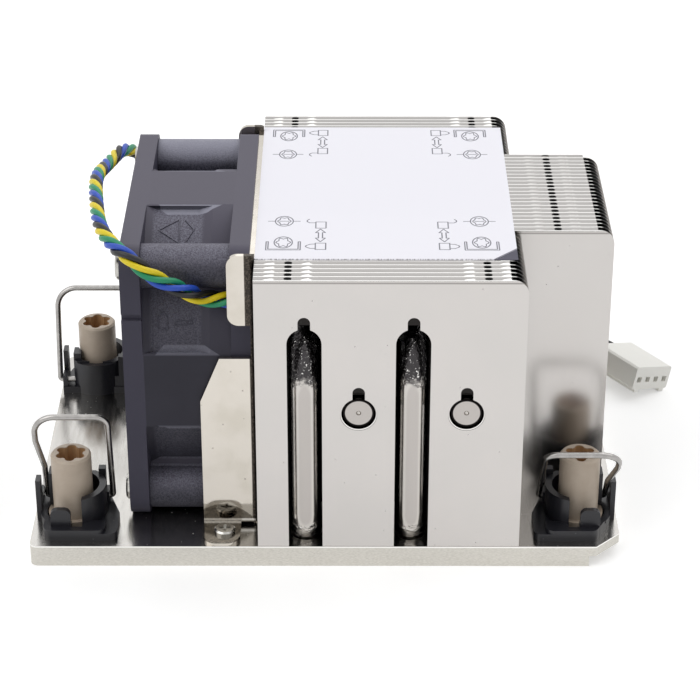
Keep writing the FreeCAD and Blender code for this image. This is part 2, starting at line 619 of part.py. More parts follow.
def fan_frame():
    """The moulded housing: two flanges, the barrel and posts between them, the motor's mount."""
    body = fan_square(FAN_LEFT, FAN_RIGHT, FAN_HALF, FAN_CORNER_R)
    between = [cut(fan_drum(FAN_BARREL_R, FAN_LEFT, FAN_RIGHT), corner_pockets())]
    between += [fan_drum(BOSS_R, FAN_LEFT, FAN_RIGHT).translated(V(0, y - FAN_Y, z - FAN_Z))
                for y, z in fan_hole_places()]
    between += corner_webs()
    shell = fuse([fan_square(FAN_LEFT, FAN_LEFT + FAN_FLANGE, FAN_HALF, FAN_CORNER_R),
                  fan_square(FAN_RIGHT - FAN_FLANGE, FAN_RIGHT, FAN_HALF, FAN_CORNER_R),
                  fuse(between).common(body)])
    flare_length = INLET_LIP / math.tan(math.radians(INLET_ANGLE))
    flare = Part.makeCone(FAN_BORE_R + INLET_LIP, FAN_BORE_R, flare_length,
                          V(FAN_LEFT, FAN_Y, FAN_Z), X_AXIS)
    tools = [fan_drum(FAN_BORE_R, FAN_LEFT, FAN_RIGHT), flare]
    tools += [drum(FAN_HOLE_R, V(FAN_LEFT, y, z), FAN_DEPTH) for y, z in fan_hole_places()]
    front = FAN_Y - FAN_HALF
    tools.append(box(FAN_LEFT, FAN_LEFT + FAN_FLANGE, front, front + SIDE_NOTCH_DEPTH,
                     SIDE_NOTCH_Z, SIDE_NOTCH_Z + SIDE_NOTCH_HEIGHT))
    shell = cut(shell, tools)
    pieces = [shell, fan_drum(MOUNT_DISC_R, MOUNT_LEFT, MOUNT_RIGHT),
              fan_drum(BEARING_TUBE_R, STATOR_LEFT - COIL_WALL, MOUNT_RIGHT)]
    strut = box(MOUNT_LEFT, MOUNT_RIGHT, FAN_Y - STRUT_WIDTH / 2, FAN_Y + STRUT_WIDTH / 2,
                FAN_Z + MOUNT_DISC_R - 1, FAN_Z + (FAN_BORE_R + FAN_BARREL_R) / 2)
    strut = strut.common(fan_drum((FAN_BORE_R + FAN_BARREL_R) / 2, MOUNT_LEFT, MOUNT_RIGHT))
    pieces += [about_fan(strut, STRUT_ANGLE + k * 360 / STRUT_COUNT) for k in range(STRUT_COUNT)]
    bearing_bore = fan_drum(BEARING_R + PRESS_GAP, STATOR_LEFT - COIL_WALL,
                            MOUNT_RIGHT - BEARING_FLOOR)
    return fuse(pieces).cut(bearing_bore)


def blade_section(radius, turn, bow, sweep):
    """The curved outline of a blade on the flat that touches the hub at one radius."""
    x0 = HUB_LEFT + BLADE_START
    half = sweep / 2
    run = V(BLADE_LENGTH, -sweep, 0)
    across = V(sweep, BLADE_LENGTH, 0)
    across.normalize()
    ends = [V(x0, half, 0), V(x0, half, 0) + run]
    middle = (ends[0] + ends[1]) * 0.5
    thick = across * (BLADE_THICKNESS / 2)
    points = [ends[0] - thick * 0.5, middle + across * bow - thick, ends[1] - thick * 0.5,
              ends[1] + thick * 0.5, middle + across * bow + thick, ends[0] + thick * 0.5]
    lean = FreeCAD.Rotation(X_AXIS, turn)
    axis = V(0, FAN_Y, FAN_Z)
    placed = [lean.multVec(p + V(0, 0, radius)) + axis for p in points]
    return Part.Wire([Part.Arc(*placed[:3]).toShape(), Part.makeLine(placed[2], placed[3]),
                      Part.Arc(*placed[3:]).toShape(), Part.makeLine(placed[5], placed[0])])


def impeller():
    """The hub cup and its swept blades, moulded as one piece."""
    cup = fan_drum(HUB_R, HUB_LEFT, HUB_LEFT + HUB_LENGTH)
    rim = [e for e in cup.Edges if len(e.Vertexes) == 1 and abs(e.CenterOfMass.x - HUB_LEFT) < 1e-6]
    cup = cup.makeFillet(HUB_EDGE_R, rim)
    tip = FAN_BORE_R - BLADE_TIP_GAP
    root = HUB_R - HUB_WALL + 0.4
    sections = [blade_section(root, 0, BLADE_BOW, BLADE_SWEEP * root / tip),
                blade_section(tip + 2.0, BLADE_LEAN, BLADE_BOW, BLADE_SWEEP)]
    blade = Part.makeLoft(sections, True, True).common(fan_drum(tip, FAN_LEFT, FAN_RIGHT))
    blades = [about_fan(blade, k * 360 / BLADE_COUNT) for k in range(BLADE_COUNT)]
    whole = fuse([cup] + blades)
    hollow = fan_drum(HUB_R - HUB_WALL, YOKE_LEFT, HUB_LEFT + HUB_LENGTH + 1)
    boss_bore = fan_drum(SHAFT_R + PRESS_GAP, HUB_LEFT + HUB_FACE / 2, YOKE_LEFT)
    return cut(whole, [hollow, boss_bore])


def rotor_yoke():
    """The steel cup pressed into the hub."""
    outer = fan_drum(YOKE_R, YOKE_LEFT, YOKE_LEFT + YOKE_LENGTH)
    inner = fan_drum(YOKE_R - YOKE_WALL, YOKE_LEFT + YOKE_WALL, YOKE_LEFT + YOKE_LENGTH)
    bore = fan_drum(SHAFT_R + PRESS_GAP, YOKE_LEFT, YOKE_LEFT + YOKE_WALL)
    return cut(outer, [inner, bore])


def magnet_ring():
    """The ring magnet inside the yoke."""
    return fan_ring(MAGNET_R, MAGNET_R - MAGNET_WALL, MAGNET_LEFT, MAGNET_LEFT + MAGNET_LENGTH)


def stator_core():
    """The laminated core: a collar with four poles that end in curved shoes."""
    x0, x1 = STATOR_LEFT, STATOR_LEFT + STATOR_LENGTH
    shoe_ring = fan_ring(STATOR_R, STATOR_R - POLE_SHOE, x0, x1)
    pieces = [fan_drum(STATOR_CORE_R, x0, x1)]
    reach = STATOR_R * 0.62
    for k in range(STATOR_POLES):
        limb = box(x0, x1, FAN_Y - POLE_WIDTH / 2, FAN_Y + POLE_WIDTH / 2, FAN_Z,
                   FAN_Z + STATOR_R - POLE_SHOE / 2)
        sector = box(x0, x1, FAN_Y - reach, FAN_Y + reach, FAN_Z + 1, FAN_Z + STATOR_R)
        shoe = shoe_ring.common(sector)
        pieces += [about_fan(s, k * 360 / STATOR_POLES) for s in (limb, shoe)]
    return fuse(pieces).cut(fan_drum(BEARING_TUBE_R + PRESS_GAP, x0, x1))


def stator_coils():
    """A winding round each pole."""
    inner = POLE_WIDTH / 2 + PRESS_GAP
    outer = inner + COIL_WALL
    low = FAN_Z + STATOR_CORE_R + 0.2
    x0, x1 = STATOR_LEFT - PRESS_GAP, STATOR_LEFT + STATOR_LENGTH + PRESS_GAP
    around = box(x0 - COIL_WALL, x1 + COIL_WALL, FAN_Y - outer, FAN_Y + outer, low,
                 low + COIL_LENGTH)
    hole = box(x0, x1, FAN_Y - inner, FAN_Y + inner, low, low + COIL_LENGTH)
    coil = around.cut(hole)
    return Part.makeCompound([about_fan(coil, k * 360 / STATOR_POLES) for k in range(STATOR_POLES)])


def bearings():
    """The two ball bearings in the mount's tube."""
    places = (STATOR_LEFT - COIL_WALL, MOUNT_RIGHT - BEARING_FLOOR - BEARING_WIDTH)
    return Part.makeCompound([fan_ring(BEARING_R, SHAFT_R + RUNNING_FIT, x, x + BEARING_WIDTH)
                              for x in places])


def shaft():
    """The fan's shaft, pressed into the yoke and held by its clip."""
    return fan_drum(SHAFT_R, HUB_LEFT + HUB_FACE / 2, BOARD_LEFT - SEAT_GAP)


def fan_board():
    """The motor's circuit board, with its chips, on the mount's disc."""
    board = fan_ring(BOARD_R, BEARING_TUBE_R + 0.2, BOARD_LEFT, MOUNT_LEFT)
    chip = box(BOARD_LEFT - 1.1, BOARD_LEFT, FAN_Y - 2.4, FAN_Y + 2.4, FAN_Z - 11.0, FAN_Z - 7.0)
    part = box(BOARD_LEFT - 0.7, BOARD_LEFT, FAN_Y + 6.4, FAN_Y + 8.0, FAN_Z - 3.0, FAN_Z + 0.2)
    return fuse([board, chip, part])


def fan_bracket():
    """The folded sheet that hangs the fan on the plate, with two ears and a foot on each side."""
    x0, x1 = FAN_RIGHT, FIN_LEFT
    ear_left, foot_right = x0 - LOWER_EAR_LENGTH, x0 - LOWER_EAR_LENGTH + FOOT_WIDTH
    half, relief_top = BRACKET_HALF, BASE_THICKNESS + EAR_RELIEF
    pieces = [box(x0, x1, FAN_Y - half, FAN_Y + half, BASE_THICKNESS + BRACKET_RISE, BRACKET_TOP)]
    for side_y in (-1, 1):
        y0, y1 = sorted((FAN_Y + side_y * (half - SHEET), FAN_Y + side_y * half))
        upper = box(x0 - UPPER_EAR_LENGTH, x1, y0, y1, UPPER_EAR_BOTTOM, UPPER_EAR_TOP)
        rounded = [e for e in upper.Edges if abs(e.tangentAt(e.FirstParameter).y) > 0.9
                   and e.CenterOfMass.x < x0 - 1]
        pieces.append(upper.makeFillet(UPPER_EAR_R, rounded))
        outline = [V(x1, y0, LOWER_EAR_TOP), V(x0 - LOWER_EAR_NECK, y0, LOWER_EAR_TOP),
                   V(ear_left, y0, LOWER_EAR_TOP - LOWER_EAR_SLANT),
                   V(ear_left, y0, BASE_THICKNESS), V(foot_right, y0, BASE_THICKNESS),
                   V(foot_right, y0, relief_top), V(x1, y0, relief_top)]
        pieces.append(polygon(outline).extrude(V(0, SHEET, 0)))
        toe = side_y * (HALF_WIDTH - FOOT_SETBACK)
        foot_front, foot_back = sorted((FAN_Y + side_y * (half - SHEET), toe))
        foot = box(ear_left, foot_right, foot_front, foot_back, BASE_THICKNESS,
                   BASE_THICKNESS + SHEET)
        toes = [e for e in foot.Edges if abs(e.tangentAt(e.FirstParameter).z) > 0.9
                and abs(e.CenterOfMass.y - toe) < 1e-6]
        pieces.append(foot.makeFillet(FOOT_CORNER_R, toes))
    tools = [fan_drum(FAN_BORE_R, x0, x1)]
    for side_y in (-1, 1):
        y0, y1 = sorted((FAN_Y + side_y * (half - FOLD_R), FAN_Y + side_y * half))
        fold = box(x1 - FOLD_R, x1, y0, y1, BASE_THICKNESS, UPPER_EAR_TOP)
        middle = V(x1 - FOLD_R, FAN_Y + side_y * (half - FOLD_R), BASE_THICKNESS)
        tools.append(fold.cut(drum(FOLD_R, middle, UPPER_EAR_TOP, Z_AXIS)))
    tools += [drum(FAN_SCREW_R + PRESS_GAP, V(x0, y, z), SHEET) for y, z in fan_hole_places()]
    tools += [drum(FOOT_SCREW_R + PRESS_GAP, p + V(0, 0, BASE_THICKNESS), SHEET, Z_AXIS)
              for p in foot_screw_places()]
    return cut(fuse(pieces), tools)


def cross_recess(radius, depth):
    """A cross-shaped driver recess that points down from the origin."""
    half = DRIVE_WIDTH / 2
    return fuse([box(-radius, radius, -half, half, -depth, 0),
                 box(-half, half, -radius, radius, -depth, 0)])


def screw(radius, length, head_r, head):
    """A pan-head screw that stands head up on the origin."""
    cap = Part.makeCylinder(head_r, head)
    top = [e for e in cap.Edges if len(e.Vertexes) == 1 and e.CenterOfMass.z > head / 2]
    cap = cap.makeChamfer(head * 0.35, top)
    whole = fuse([cap, Part.makeCylinder(radius, length, V(0, 0, -length))])
    recess = cross_recess(head_r * 0.55, head * 0.6)
    recess.translate(V(0, 0, head))
    return whole.cut(recess)


def fan_screws():
    """The long screws from the fan's inlet side through its posts into the bracket."""
    pieces = []
    for y, z in fan_hole_places():
        piece = screw(FAN_SCREW_R, FAN_DEPTH + SHEET, FAN_SCREW_HEAD_R, FAN_SCREW_HEAD)
        piece.rotate(V(0, 0, 0), Y_AXIS, -90)
        piece.translate(V(FAN_LEFT, y, z))
        pieces.append(piece)
    return Part.makeCompound(pieces)


def foot_screws():
    """The screws through the bracket's feet into the plate."""
    pieces = []
    for place in foot_screw_places():
        piece = screw(FOOT_SCREW_R, FOOT_SCREW_LENGTH, FOOT_SCREW_HEAD_R, FOOT_SCREW_HEAD)
        piece.translate(place + V(0, 0, BASE_THICKNESS + SHEET))
        pieces.append(piece)
    return Part.makeCompound(pieces)


# ---------------------------------------------------------------- nuts, retainers and wires

def place_at(shape, side_x, side_y):
    """A shape drawn in a corner's own axes (u, v, z), set on that corner."""
    placed = shape
    if side_x < 0:
        placed = placed.mirror(V(0, 0, 0), X_AXIS)
    if side_y < 0:
        placed = placed.mirror(V(0, 0, 0), Y_AXIS)
    placed.translate(nut_centre(side_x, side_y))
    return placed


def nut():
    """A moulded nut with a lobed socket on top and a flange that its retainer holds."""
    body = Part.makeCylinder(NUT_R, NUT_TOP - NUT_FOOT, V(0, 0, NUT_FOOT))
    top = [e for e in body.Edges if len(e.Vertexes) == 1 and abs(e.CenterOfMass.z - NUT_TOP) < 1e-6]
    body = body.makeChamfer(NUT_EDGE, top)
    flange = Part.makeCylinder(NUT_FLANGE_R, NUT_FLANGE, V(0, 0, NUT_FOOT))
    floor = V(0, 0, NUT_TOP - NUT_SOCKET_DEPTH)
    lobes = [Part.makeCylinder(NUT_SOCKET_INNER_R, NUT_SOCKET_DEPTH, floor)]
    for k in range(NUT_SOCKET_LOBES):
        angle = math.pi / 2 + k * 2 * math.pi / NUT_SOCKET_LOBES
        out = V(math.cos(angle), math.sin(angle), 0) * (NUT_SOCKET_R - NUT_LOBE_R)
        lobes.append(Part.makeCylinder(NUT_LOBE_R, NUT_SOCKET_DEPTH, floor + out))
    socket = fuse(lobes)
    bore = Part.makeCylinder(NUT_BORE_R, NUT_BORE_DEPTH, V(0, 0, NUT_FOOT))
    return cut(fuse([body, flange]), [socket, bore])


def retainer_ledge(marked):
    """The retainer's floor, with its kerb; one of the four has a slanted corner."""
    z0, outer, front = BASE_THICKNESS, RETAINER_OUTER, RETAINER_FRONT
    nose, slant = RETAINER_CHAMFER if marked else (0.0, 0.0)
    outline = [V(RETAINER_INNER, front, z0), V(RETAINER_INNER, RETAINER_SIDE, z0),
               V(RETAINER_INNER + RETAINER_SLANT, RETAINER_BACK, z0),
               V(POST_OUTER, RETAINER_BACK, z0), V(POST_OUTER, POST_DEPTH[1], z0),
               V(outer, POST_DEPTH[1], z0), V(outer, front - slant, z0)]
    if marked:
        outline.append(V(outer - nose, front, z0))
    ledge = polygon(outline).extrude(V(0, 0, LEDGE_TOP - z0))
    kerb = box(INNER_LUG[0], outer - nose, front - KERB_DEPTH, front, z0, KERB_TOP)
    if marked:
        kerb = kerb.fuse(box(outer - nose, outer, front - KERB_DEPTH, front, z0,
                             KERB_TOP)).common(polygon(outline).extrude(V(0, 0, KERB_TOP)))
    return [rounded_front(ledge), rounded_front(kerb)]


def rounded_front(block):
    """A block with its upright edges rounded at the retainer's front."""
    edges = [e for e in block.Edges if abs(e.tangentAt(e.FirstParameter).z) > 0.9
             and abs(e.CenterOfMass.y - RETAINER_FRONT) < 1e-6]
    return block.makeFillet(RETAINER_CORNER_R, edges)


def retainer_ring():
    """The broken ring round the nut, with the tab that stands in its front gap."""
    ring = Part.makeCylinder(RING_R, RING_TOP - BASE_THICKNESS, V(0, 0, BASE_THICKNESS))
    front_gap = box(RING_GAP[0], RING_R, 0, RING_R, LEDGE_TOP, RING_TOP)
    side_gap = box(RING_GAP[1], RING_R, -RING_R, POST_DEPTH[1], LEDGE_TOP, RING_TOP)
    back = box(-RING_R, RING_R, -RING_R, RING_BACK_DEPTH - RING_R, RING_BACK_TOP, RING_TOP)
    tab = box(*TAB_SPAN, TAB_BACK, TAB_BACK + TAB_THICKNESS, BASE_THICKNESS, TAB_TOP)
    tab_corners = [e for e in tab.Edges if abs(e.tangentAt(e.FirstParameter).y) > 0.9
                   and abs(e.CenterOfMass.z - TAB_TOP) < 1e-6]
    return [cut(ring, [front_gap, side_gap, back]), tab.makeFillet(TAB_CORNER_R, tab_corners)]


def retainer(marked):
    """The moulded clip that holds a nut and carries the ends of its wire."""
    z0 = BASE_THICKNESS
    v0, v1 = WIRE_HINGE_V - LUG_HALF, WIRE_HINGE_V + LUG_HALF
    post = box(POST_INNER, POST_OUTER, *POST_DEPTH, z0, POST_TOP)
    outer_lug = box(POST_INNER, POST_OUTER, v0, v1, z0, LUG_TOP)
    inner_lug = box(*INNER_LUG, v0, v1, z0, LUG_TOP)
    hook = box(*HOOK_SPAN, v0, v0 + HOOK_DEPTH, z0, HOOK_TOP)
    whole = fuse(retainer_ledge(marked) + retainer_ring() + [post, outer_lug, inner_lug, hook])
    well = Part.makeCylinder(RING_BORE_R, RING_TOP, V(0, 0, z0))
    front_well = box(LEDGE_WELL[0], TAB_SPAN[0], 0, LEDGE_WELL[1], z0, RING_TOP)
    guide = box(GUIDE_INNER - 1, GUIDE_OUTER, *GUIDE_DEPTH, z0, GUIDE_TOP)
    flange_top = NUT_FOOT + NUT_FLANGE + NUT_ROOM
    guide_room = [Part.makeCylinder(GUIDE_INNER, GUIDE_TOP, V(0, 0, z0)),
                  Part.makeCylinder(RING_BORE_R, flange_top - z0, V(0, 0, z0))]
    pin_hole = drum(WIRE_R + RUNNING_FIT, V(INNER_LUG[0] - 1, WIRE_HINGE_V, WIRE_HINGE_Z),
                    POST_OUTER - INNER_LUG[0] + 2)
    return fuse([cut(whole, [well, front_well]), cut(guide, guide_room)]).cut(pin_hole)


def wire_route(outer_leg):
    """The points and bend radii of a wire, upright, from its inner end to its outer end."""
    v, z = WIRE_HINGE_V, WIRE_HINGE_Z
    top = z + WIRE_LENGTH
    bulge = max(outer_leg, WIRE_BULGE)
    points = [V(INNER_LUG[0] + WIRE_PIN, v, z), V(WIRE_INNER, v, z), V(WIRE_INNER, v, top),
              V(bulge, v, top), V(bulge, v, z + WIRE_BULGE_END),
              V(outer_leg, v, z + WIRE_BULGE_START), V(outer_leg, v, z), V(GUIDE_INNER, v, z)]
    radii = [0, WIRE_FOOT_R, WIRE_CORNER_R, WIRE_SHOULDER_R, WIRE_TUCK_R, WIRE_TUCK_R,
             WIRE_FOOT_R, 0]
    if outer_leg >= WIRE_BULGE:
        del points[4:6], radii[4:6]
    return points, radii


def wire_bail(outer_leg, lean):
    """A spring wire that folds over its nut, leaning outward from upright."""
    bail = round_bar(rounded_line(*wire_route(outer_leg)), WIRE_R)
    bail.rotate(V(0, WIRE_HINGE_V, WIRE_HINGE_Z), X_AXIS, -lean)
    return bail


# ---------------------------------------------------------------- cord and plug

def plug_placement():
    """Where the plug lies: turned on the table and rolled until its side or a rib touches."""
    turn = FreeCAD.Rotation(Z_AXIS, PLUG_YAW).multiply(FreeCAD.Rotation(Y_AXIS, PLUG_ROLL))
    last_way = list(plug_ways())[-1]
    rib = turn.multVec(V(last_way + PLUG_RIB_WIDTH / 2, 0, -PLUG_RIB_HEIGHT))
    edge = turn.multVec(V(PLUG_WIDTH / 2, 0, 0))
    corner = turn.multVec(V(-PLUG_WIDTH / 2, 0, 0))
    place = V(HALF_LENGTH + PLUG_CORNER[0] - corner.x, HALF_WIDTH + PLUG_CORNER[1] - corner.y,
              -min(rib.z, edge.z))
    return FreeCAD.Placement(place, turn)


def plug_ways():
    """The plug's contacts, across its width."""
    for k in range(PLUG_WAYS):
        yield (k - (PLUG_WAYS - 1) / 2) * PLUG_PITCH


def plug_housing():
    """The moulded plug, with its mating face towards -Y before it is laid down."""
    body = box(-PLUG_WIDTH / 2, PLUG_WIDTH / 2, 0, PLUG_LENGTH, 0, PLUG_HEIGHT)
    along = [e for e in body.Edges if abs(e.tangentAt(e.FirstParameter).y) > 0.9]
    body = body.makeChamfer(PLUG_EDGE, along)
    ways = list(plug_ways())
    ribs = [box(x - PLUG_RIB_WIDTH / 2, x + PLUG_RIB_WIDTH / 2, 0, PLUG_RIB_LENGTH,
                -PLUG_RIB_HEIGHT, PLUG_EDGE) for x in (ways[0], ways[-1])]
    half, middle = PLUG_HOLE / 2, PLUG_HOLE_RISE
    holes = [box(x - half, x + half, 0, PLUG_HOLE_DEPTH, middle - half, middle + half)
             for x in ways]
    housing = cut(fuse([body] + ribs), holes)
    housing.Placement = plug_placement()
    return housing


def plug_contacts():
    """The crimped spring contacts inside the plug."""
    half, middle = CONTACT_SIZE / 2, PLUG_HOLE_RISE
    inner = half - CONTACT_WALL
    start = PLUG_HOLE_DEPTH - CONTACT_LENGTH
    pieces = []
    for x in plug_ways():
        sleeve = box(x - half, x + half, start, PLUG_HOLE_DEPTH, middle - half, middle + half)
        hollow = box(x - inner, x + inner, start, start + CONTACT_LENGTH / 2, middle - inner,
                     middle + inner)
        pieces.append(sleeve.cut(hollow))
    contacts = Part.makeCompound(pieces)
    contacts.Placement = plug_placement()
    return contacts


def cord_points():
    """The cord's route, from the fan's flange round its inlet, down behind it and to the plug."""
    place = plug_placement()
    entry = place.multVec(V(0, PLUG_LENGTH, PLUG_HEIGHT / 2))
    behind = place.multVec(V(0, PLUG_LENGTH + PLUG_TAIL, PLUG_HEIGHT / 2))
    start = cord_exit()
    anchors = [(V(FAN_LEFT, FAN_Y - FAN_HALF, FAN_TOP), CORD_NEAR_FAN),
               (V(FAN_LEFT, FAN_Y, FAN_TOP), CORD_OVER_FAN),
               (V(FAN_LEFT, FAN_Y + FAN_HALF, FAN_TOP), CORD_BEHIND_FAN),
               (V(FAN_RIGHT, HALF_WIDTH, 0), CORD_ON_TABLE),
               (V(HALF_LENGTH, HALF_WIDTH, 0), CORD_TO_PLUG)]
    between = [anchor + V(*step) for anchor, steps in anchors for step in steps]
    return [start, start - V(CORD_STUB, 0, 0)] + between + [behind, entry]


def cord():
    """The cord's tube: straight runs joined by arcs."""
    points = cord_points()
    radii = [0.0]
    for before, corner, after in zip(points, points[1:], points[2:]):
        turn = math.pi - (before - corner).getAngle(after - corner)
        shorter = min((before - corner).Length, (after - corner).Length)
        radii.append(0.45 * shorter / math.tan(turn / 2))
    edges = rounded_line(points, radii)
    tube = round_bar(edges, CABLE_R)
    length = sum(edge.Length for edge in edges)
    section = math.pi * CABLE_R ** 2
    print("cord radii:", " ".join(f"{r:.1f}" for r in radii[1:]))
    print(f"cord length {length:.1f} mm, tube over section x length "
          f"{tube.Volume / (section * length):.4f}")
    return tube


def main():
    """Write every piece to its own file."""
    os.makedirs("parts", exist_ok=True)
    export(base_plate(), "base_plate")
    for number, (x, bend_side, height) in enumerate(pipe_places(), 1):
        export(heat_pipe(x, bend_side, height), f"heat_pipe_{number}")
    export(fin_bank(0, BANK_FINS), "fins_front_bank")
    export(fin_bank(BANK_FINS, FIN_COUNT - BANK_FINS), "fins_middle_bank")
    export(fin_bank(FIN_COUNT - BANK_FINS, FIN_COUNT), "fins_rear_bank")
    export(label(), "label_sheet")
    export(fan_frame(), "fan_frame")
    export(impeller(), "impeller")
    export(rotor_yoke(), "rotor_yoke")
    export(magnet_ring(), "magnet_ring")
    export(stator_core(), "stator_core")
    export(stator_coils(), "stator_coils")
    export(bearings(), "bearings")
    export(shaft(), "fan_shaft")
    export(fan_board(), "fan_board")
    export(fan_bracket(), "fan_bracket")
    export(fan_screws(), "fan_screws")
    export(foot_screws(), "foot_screws")
    for name, side_x, side_y in corners():
        marked = name == "front_right"
        export(place_at(retainer(marked), side_x, side_y), f"retainer_{name}")
        export(place_at(nut(), side_x, side_y), f"nut_{name}")
        outer_leg = WIRE_OUTER_FREE if name == "rear_left" else WIRE_OUTER_TUCKED
        lean = WIRE_LEAN_FRONT_RIGHT if marked else WIRE_LEAN
        export(place_at(wire_bail(outer_leg, lean), side_x, side_y), f"wire_{name}")
    export(cord(), "fan_cable")
    export(plug_housing(), "plug_housing")
    export(plug_contacts(), "plug_contacts")


main()
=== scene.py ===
"""A two-unit server processor cooler: its plated base, fin stack, fan, nuts, wires and lead.

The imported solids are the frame. This script dresses them in their finishes and adds what is too
fine for the solids: the locking tabs of the fins, the arrows moulded into the fan, the printed
marks of the label, the dark corner beside it and the four twisted wires of the fan's lead.
Lengths are in millimetres in the sub-assemblies and become metres where a mesh is made.
"""

import json
import logging
import math
from dataclasses import dataclass, field
from enum import Enum
from functools import reduce
from typing import Callable, Iterable, Iterator, Sequence, Union

import bmesh
import bpy
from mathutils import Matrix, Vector

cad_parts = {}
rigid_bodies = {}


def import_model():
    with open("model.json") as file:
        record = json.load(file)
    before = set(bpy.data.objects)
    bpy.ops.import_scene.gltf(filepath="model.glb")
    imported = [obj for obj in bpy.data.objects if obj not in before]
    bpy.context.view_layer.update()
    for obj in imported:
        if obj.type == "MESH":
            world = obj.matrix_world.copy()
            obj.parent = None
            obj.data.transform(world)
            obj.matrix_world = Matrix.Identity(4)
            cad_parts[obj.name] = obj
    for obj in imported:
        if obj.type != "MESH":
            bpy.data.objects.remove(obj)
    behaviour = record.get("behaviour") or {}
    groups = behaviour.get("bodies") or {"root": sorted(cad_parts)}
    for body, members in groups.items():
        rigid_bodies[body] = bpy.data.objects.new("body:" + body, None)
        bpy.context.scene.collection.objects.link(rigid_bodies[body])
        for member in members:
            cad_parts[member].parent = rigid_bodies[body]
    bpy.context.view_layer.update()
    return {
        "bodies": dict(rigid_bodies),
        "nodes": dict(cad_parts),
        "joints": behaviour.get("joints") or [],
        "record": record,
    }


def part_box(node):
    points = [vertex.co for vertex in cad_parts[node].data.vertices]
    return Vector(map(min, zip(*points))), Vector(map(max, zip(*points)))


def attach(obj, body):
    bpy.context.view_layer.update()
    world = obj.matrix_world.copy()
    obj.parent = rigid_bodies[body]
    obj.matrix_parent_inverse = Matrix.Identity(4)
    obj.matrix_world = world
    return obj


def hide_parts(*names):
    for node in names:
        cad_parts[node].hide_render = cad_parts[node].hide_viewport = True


LOG = logging.getLogger("cooler")
MM = 0.001
WHITE = (1.0, 1.0, 1.0)
Point = tuple[float, float, float]
Colour = tuple[float, float, float]
Pair = tuple[float, float]

STACK_FRONT, STACK_REAR = -38.9, 39.0       # outer faces of the first and last fin, along Y
FIN_COUNT = 48
FIN_SHEET = 0.3
FIN_PITCH = (STACK_REAR - STACK_FRONT - FIN_SHEET) / (FIN_COUNT - 1)
MIDDLE_BANK, MIDDLE_FINS = 13, 22           # the bank's first fin, from 0, and its count
REAR_BANK = MIDDLE_BANK + MIDDLE_FINS
SLOT_LEFT, SLOT_RIGHT, SLOT_LONG = -6.9, 30.9, 45.5         # columns of locking slots, along X
PIPE_X = tuple(-3.9 + 10.43 * number for number in range(4))        # of the pipes' cut ends
FAN_AXIS = (0.2, 35.0)                      # in Y and Z


def tint(red: int, green: int, blue: int) -> Colour:
    """Turn a colour of 0 to 255 a channel into the linear values that a shader takes.

    Args:
        red: red channel.
        green: green channel.
        blue: blue channel.

    Returns:
        The three linear channels, 0 to 1.
    """
    def linear(channel: int) -> float:
        """Linear value of one channel."""
        share = channel / 255
        return share / 12.92 if share <= 0.04045 else ((share + 0.055) / 1.055) ** 2.4
    return linear(red), linear(green), linear(blue)


def dimmed(colour: Colour, share: float) -> Colour:
    """A colour at a share of its brightness."""
    return tuple(channel * share for channel in colour)


# ---------------------------------------------------------------- node trees

def operator(operation: str, swapped: bool = False) -> Callable[..., "Signal"]:
    """Make the method that adds one kind of Math node.

    Args:
        operation: the node's operation.
        swapped: whether the signal itself comes last.

    Returns:
        The method.
    """
    def method(self: "Signal", *others: "Value") -> "Signal":
        """Join the values in one Math node."""
        values = (*others, self) if swapped else (self, *others)
        return self.graph.math(operation, *values)
    return method


class Signal:
    """A value that leaves a node, with arithmetic that adds Math nodes to its tree."""

    def __init__(self, graph: "Graph", socket: bpy.types.NodeSocket) -> None:
        """Wrap a socket of a graph."""
        self.graph = graph
        self.socket = socket

    __add__ = operator("ADD")
    __radd__ = operator("ADD", True)
    __sub__ = operator("SUBTRACT")
    __rsub__ = operator("SUBTRACT", True)
    __mul__ = operator("MULTIPLY")
    __truediv__ = operator("DIVIDE")
    __abs__ = operator("ABSOLUTE")
    least = operator("MINIMUM")
    most = operator("MAXIMUM")

    def above(self, edge: float, soft: float) -> "Signal":
        """Rise smoothly from 0 to 1 across an edge.

        Args:
            edge: value at the middle of the rise.
            soft: half the width of the rise.

        Returns:
            A mask.
        """
        reach = {"Value": self, "From Min": edge - soft, "From Max": edge + soft}
        return self.graph.out("Result", "ShaderNodeMapRange", reach,
                              interpolation_type="SMOOTHSTEP")

    def between(self, low: float, high: float, soft: float) -> "Signal":
        """A mask that is 1 from low to high and falls away over soft on each side."""
        return self.above(low, soft) * (1 - self.above(high, soft))


Value = Union[float, Signal]


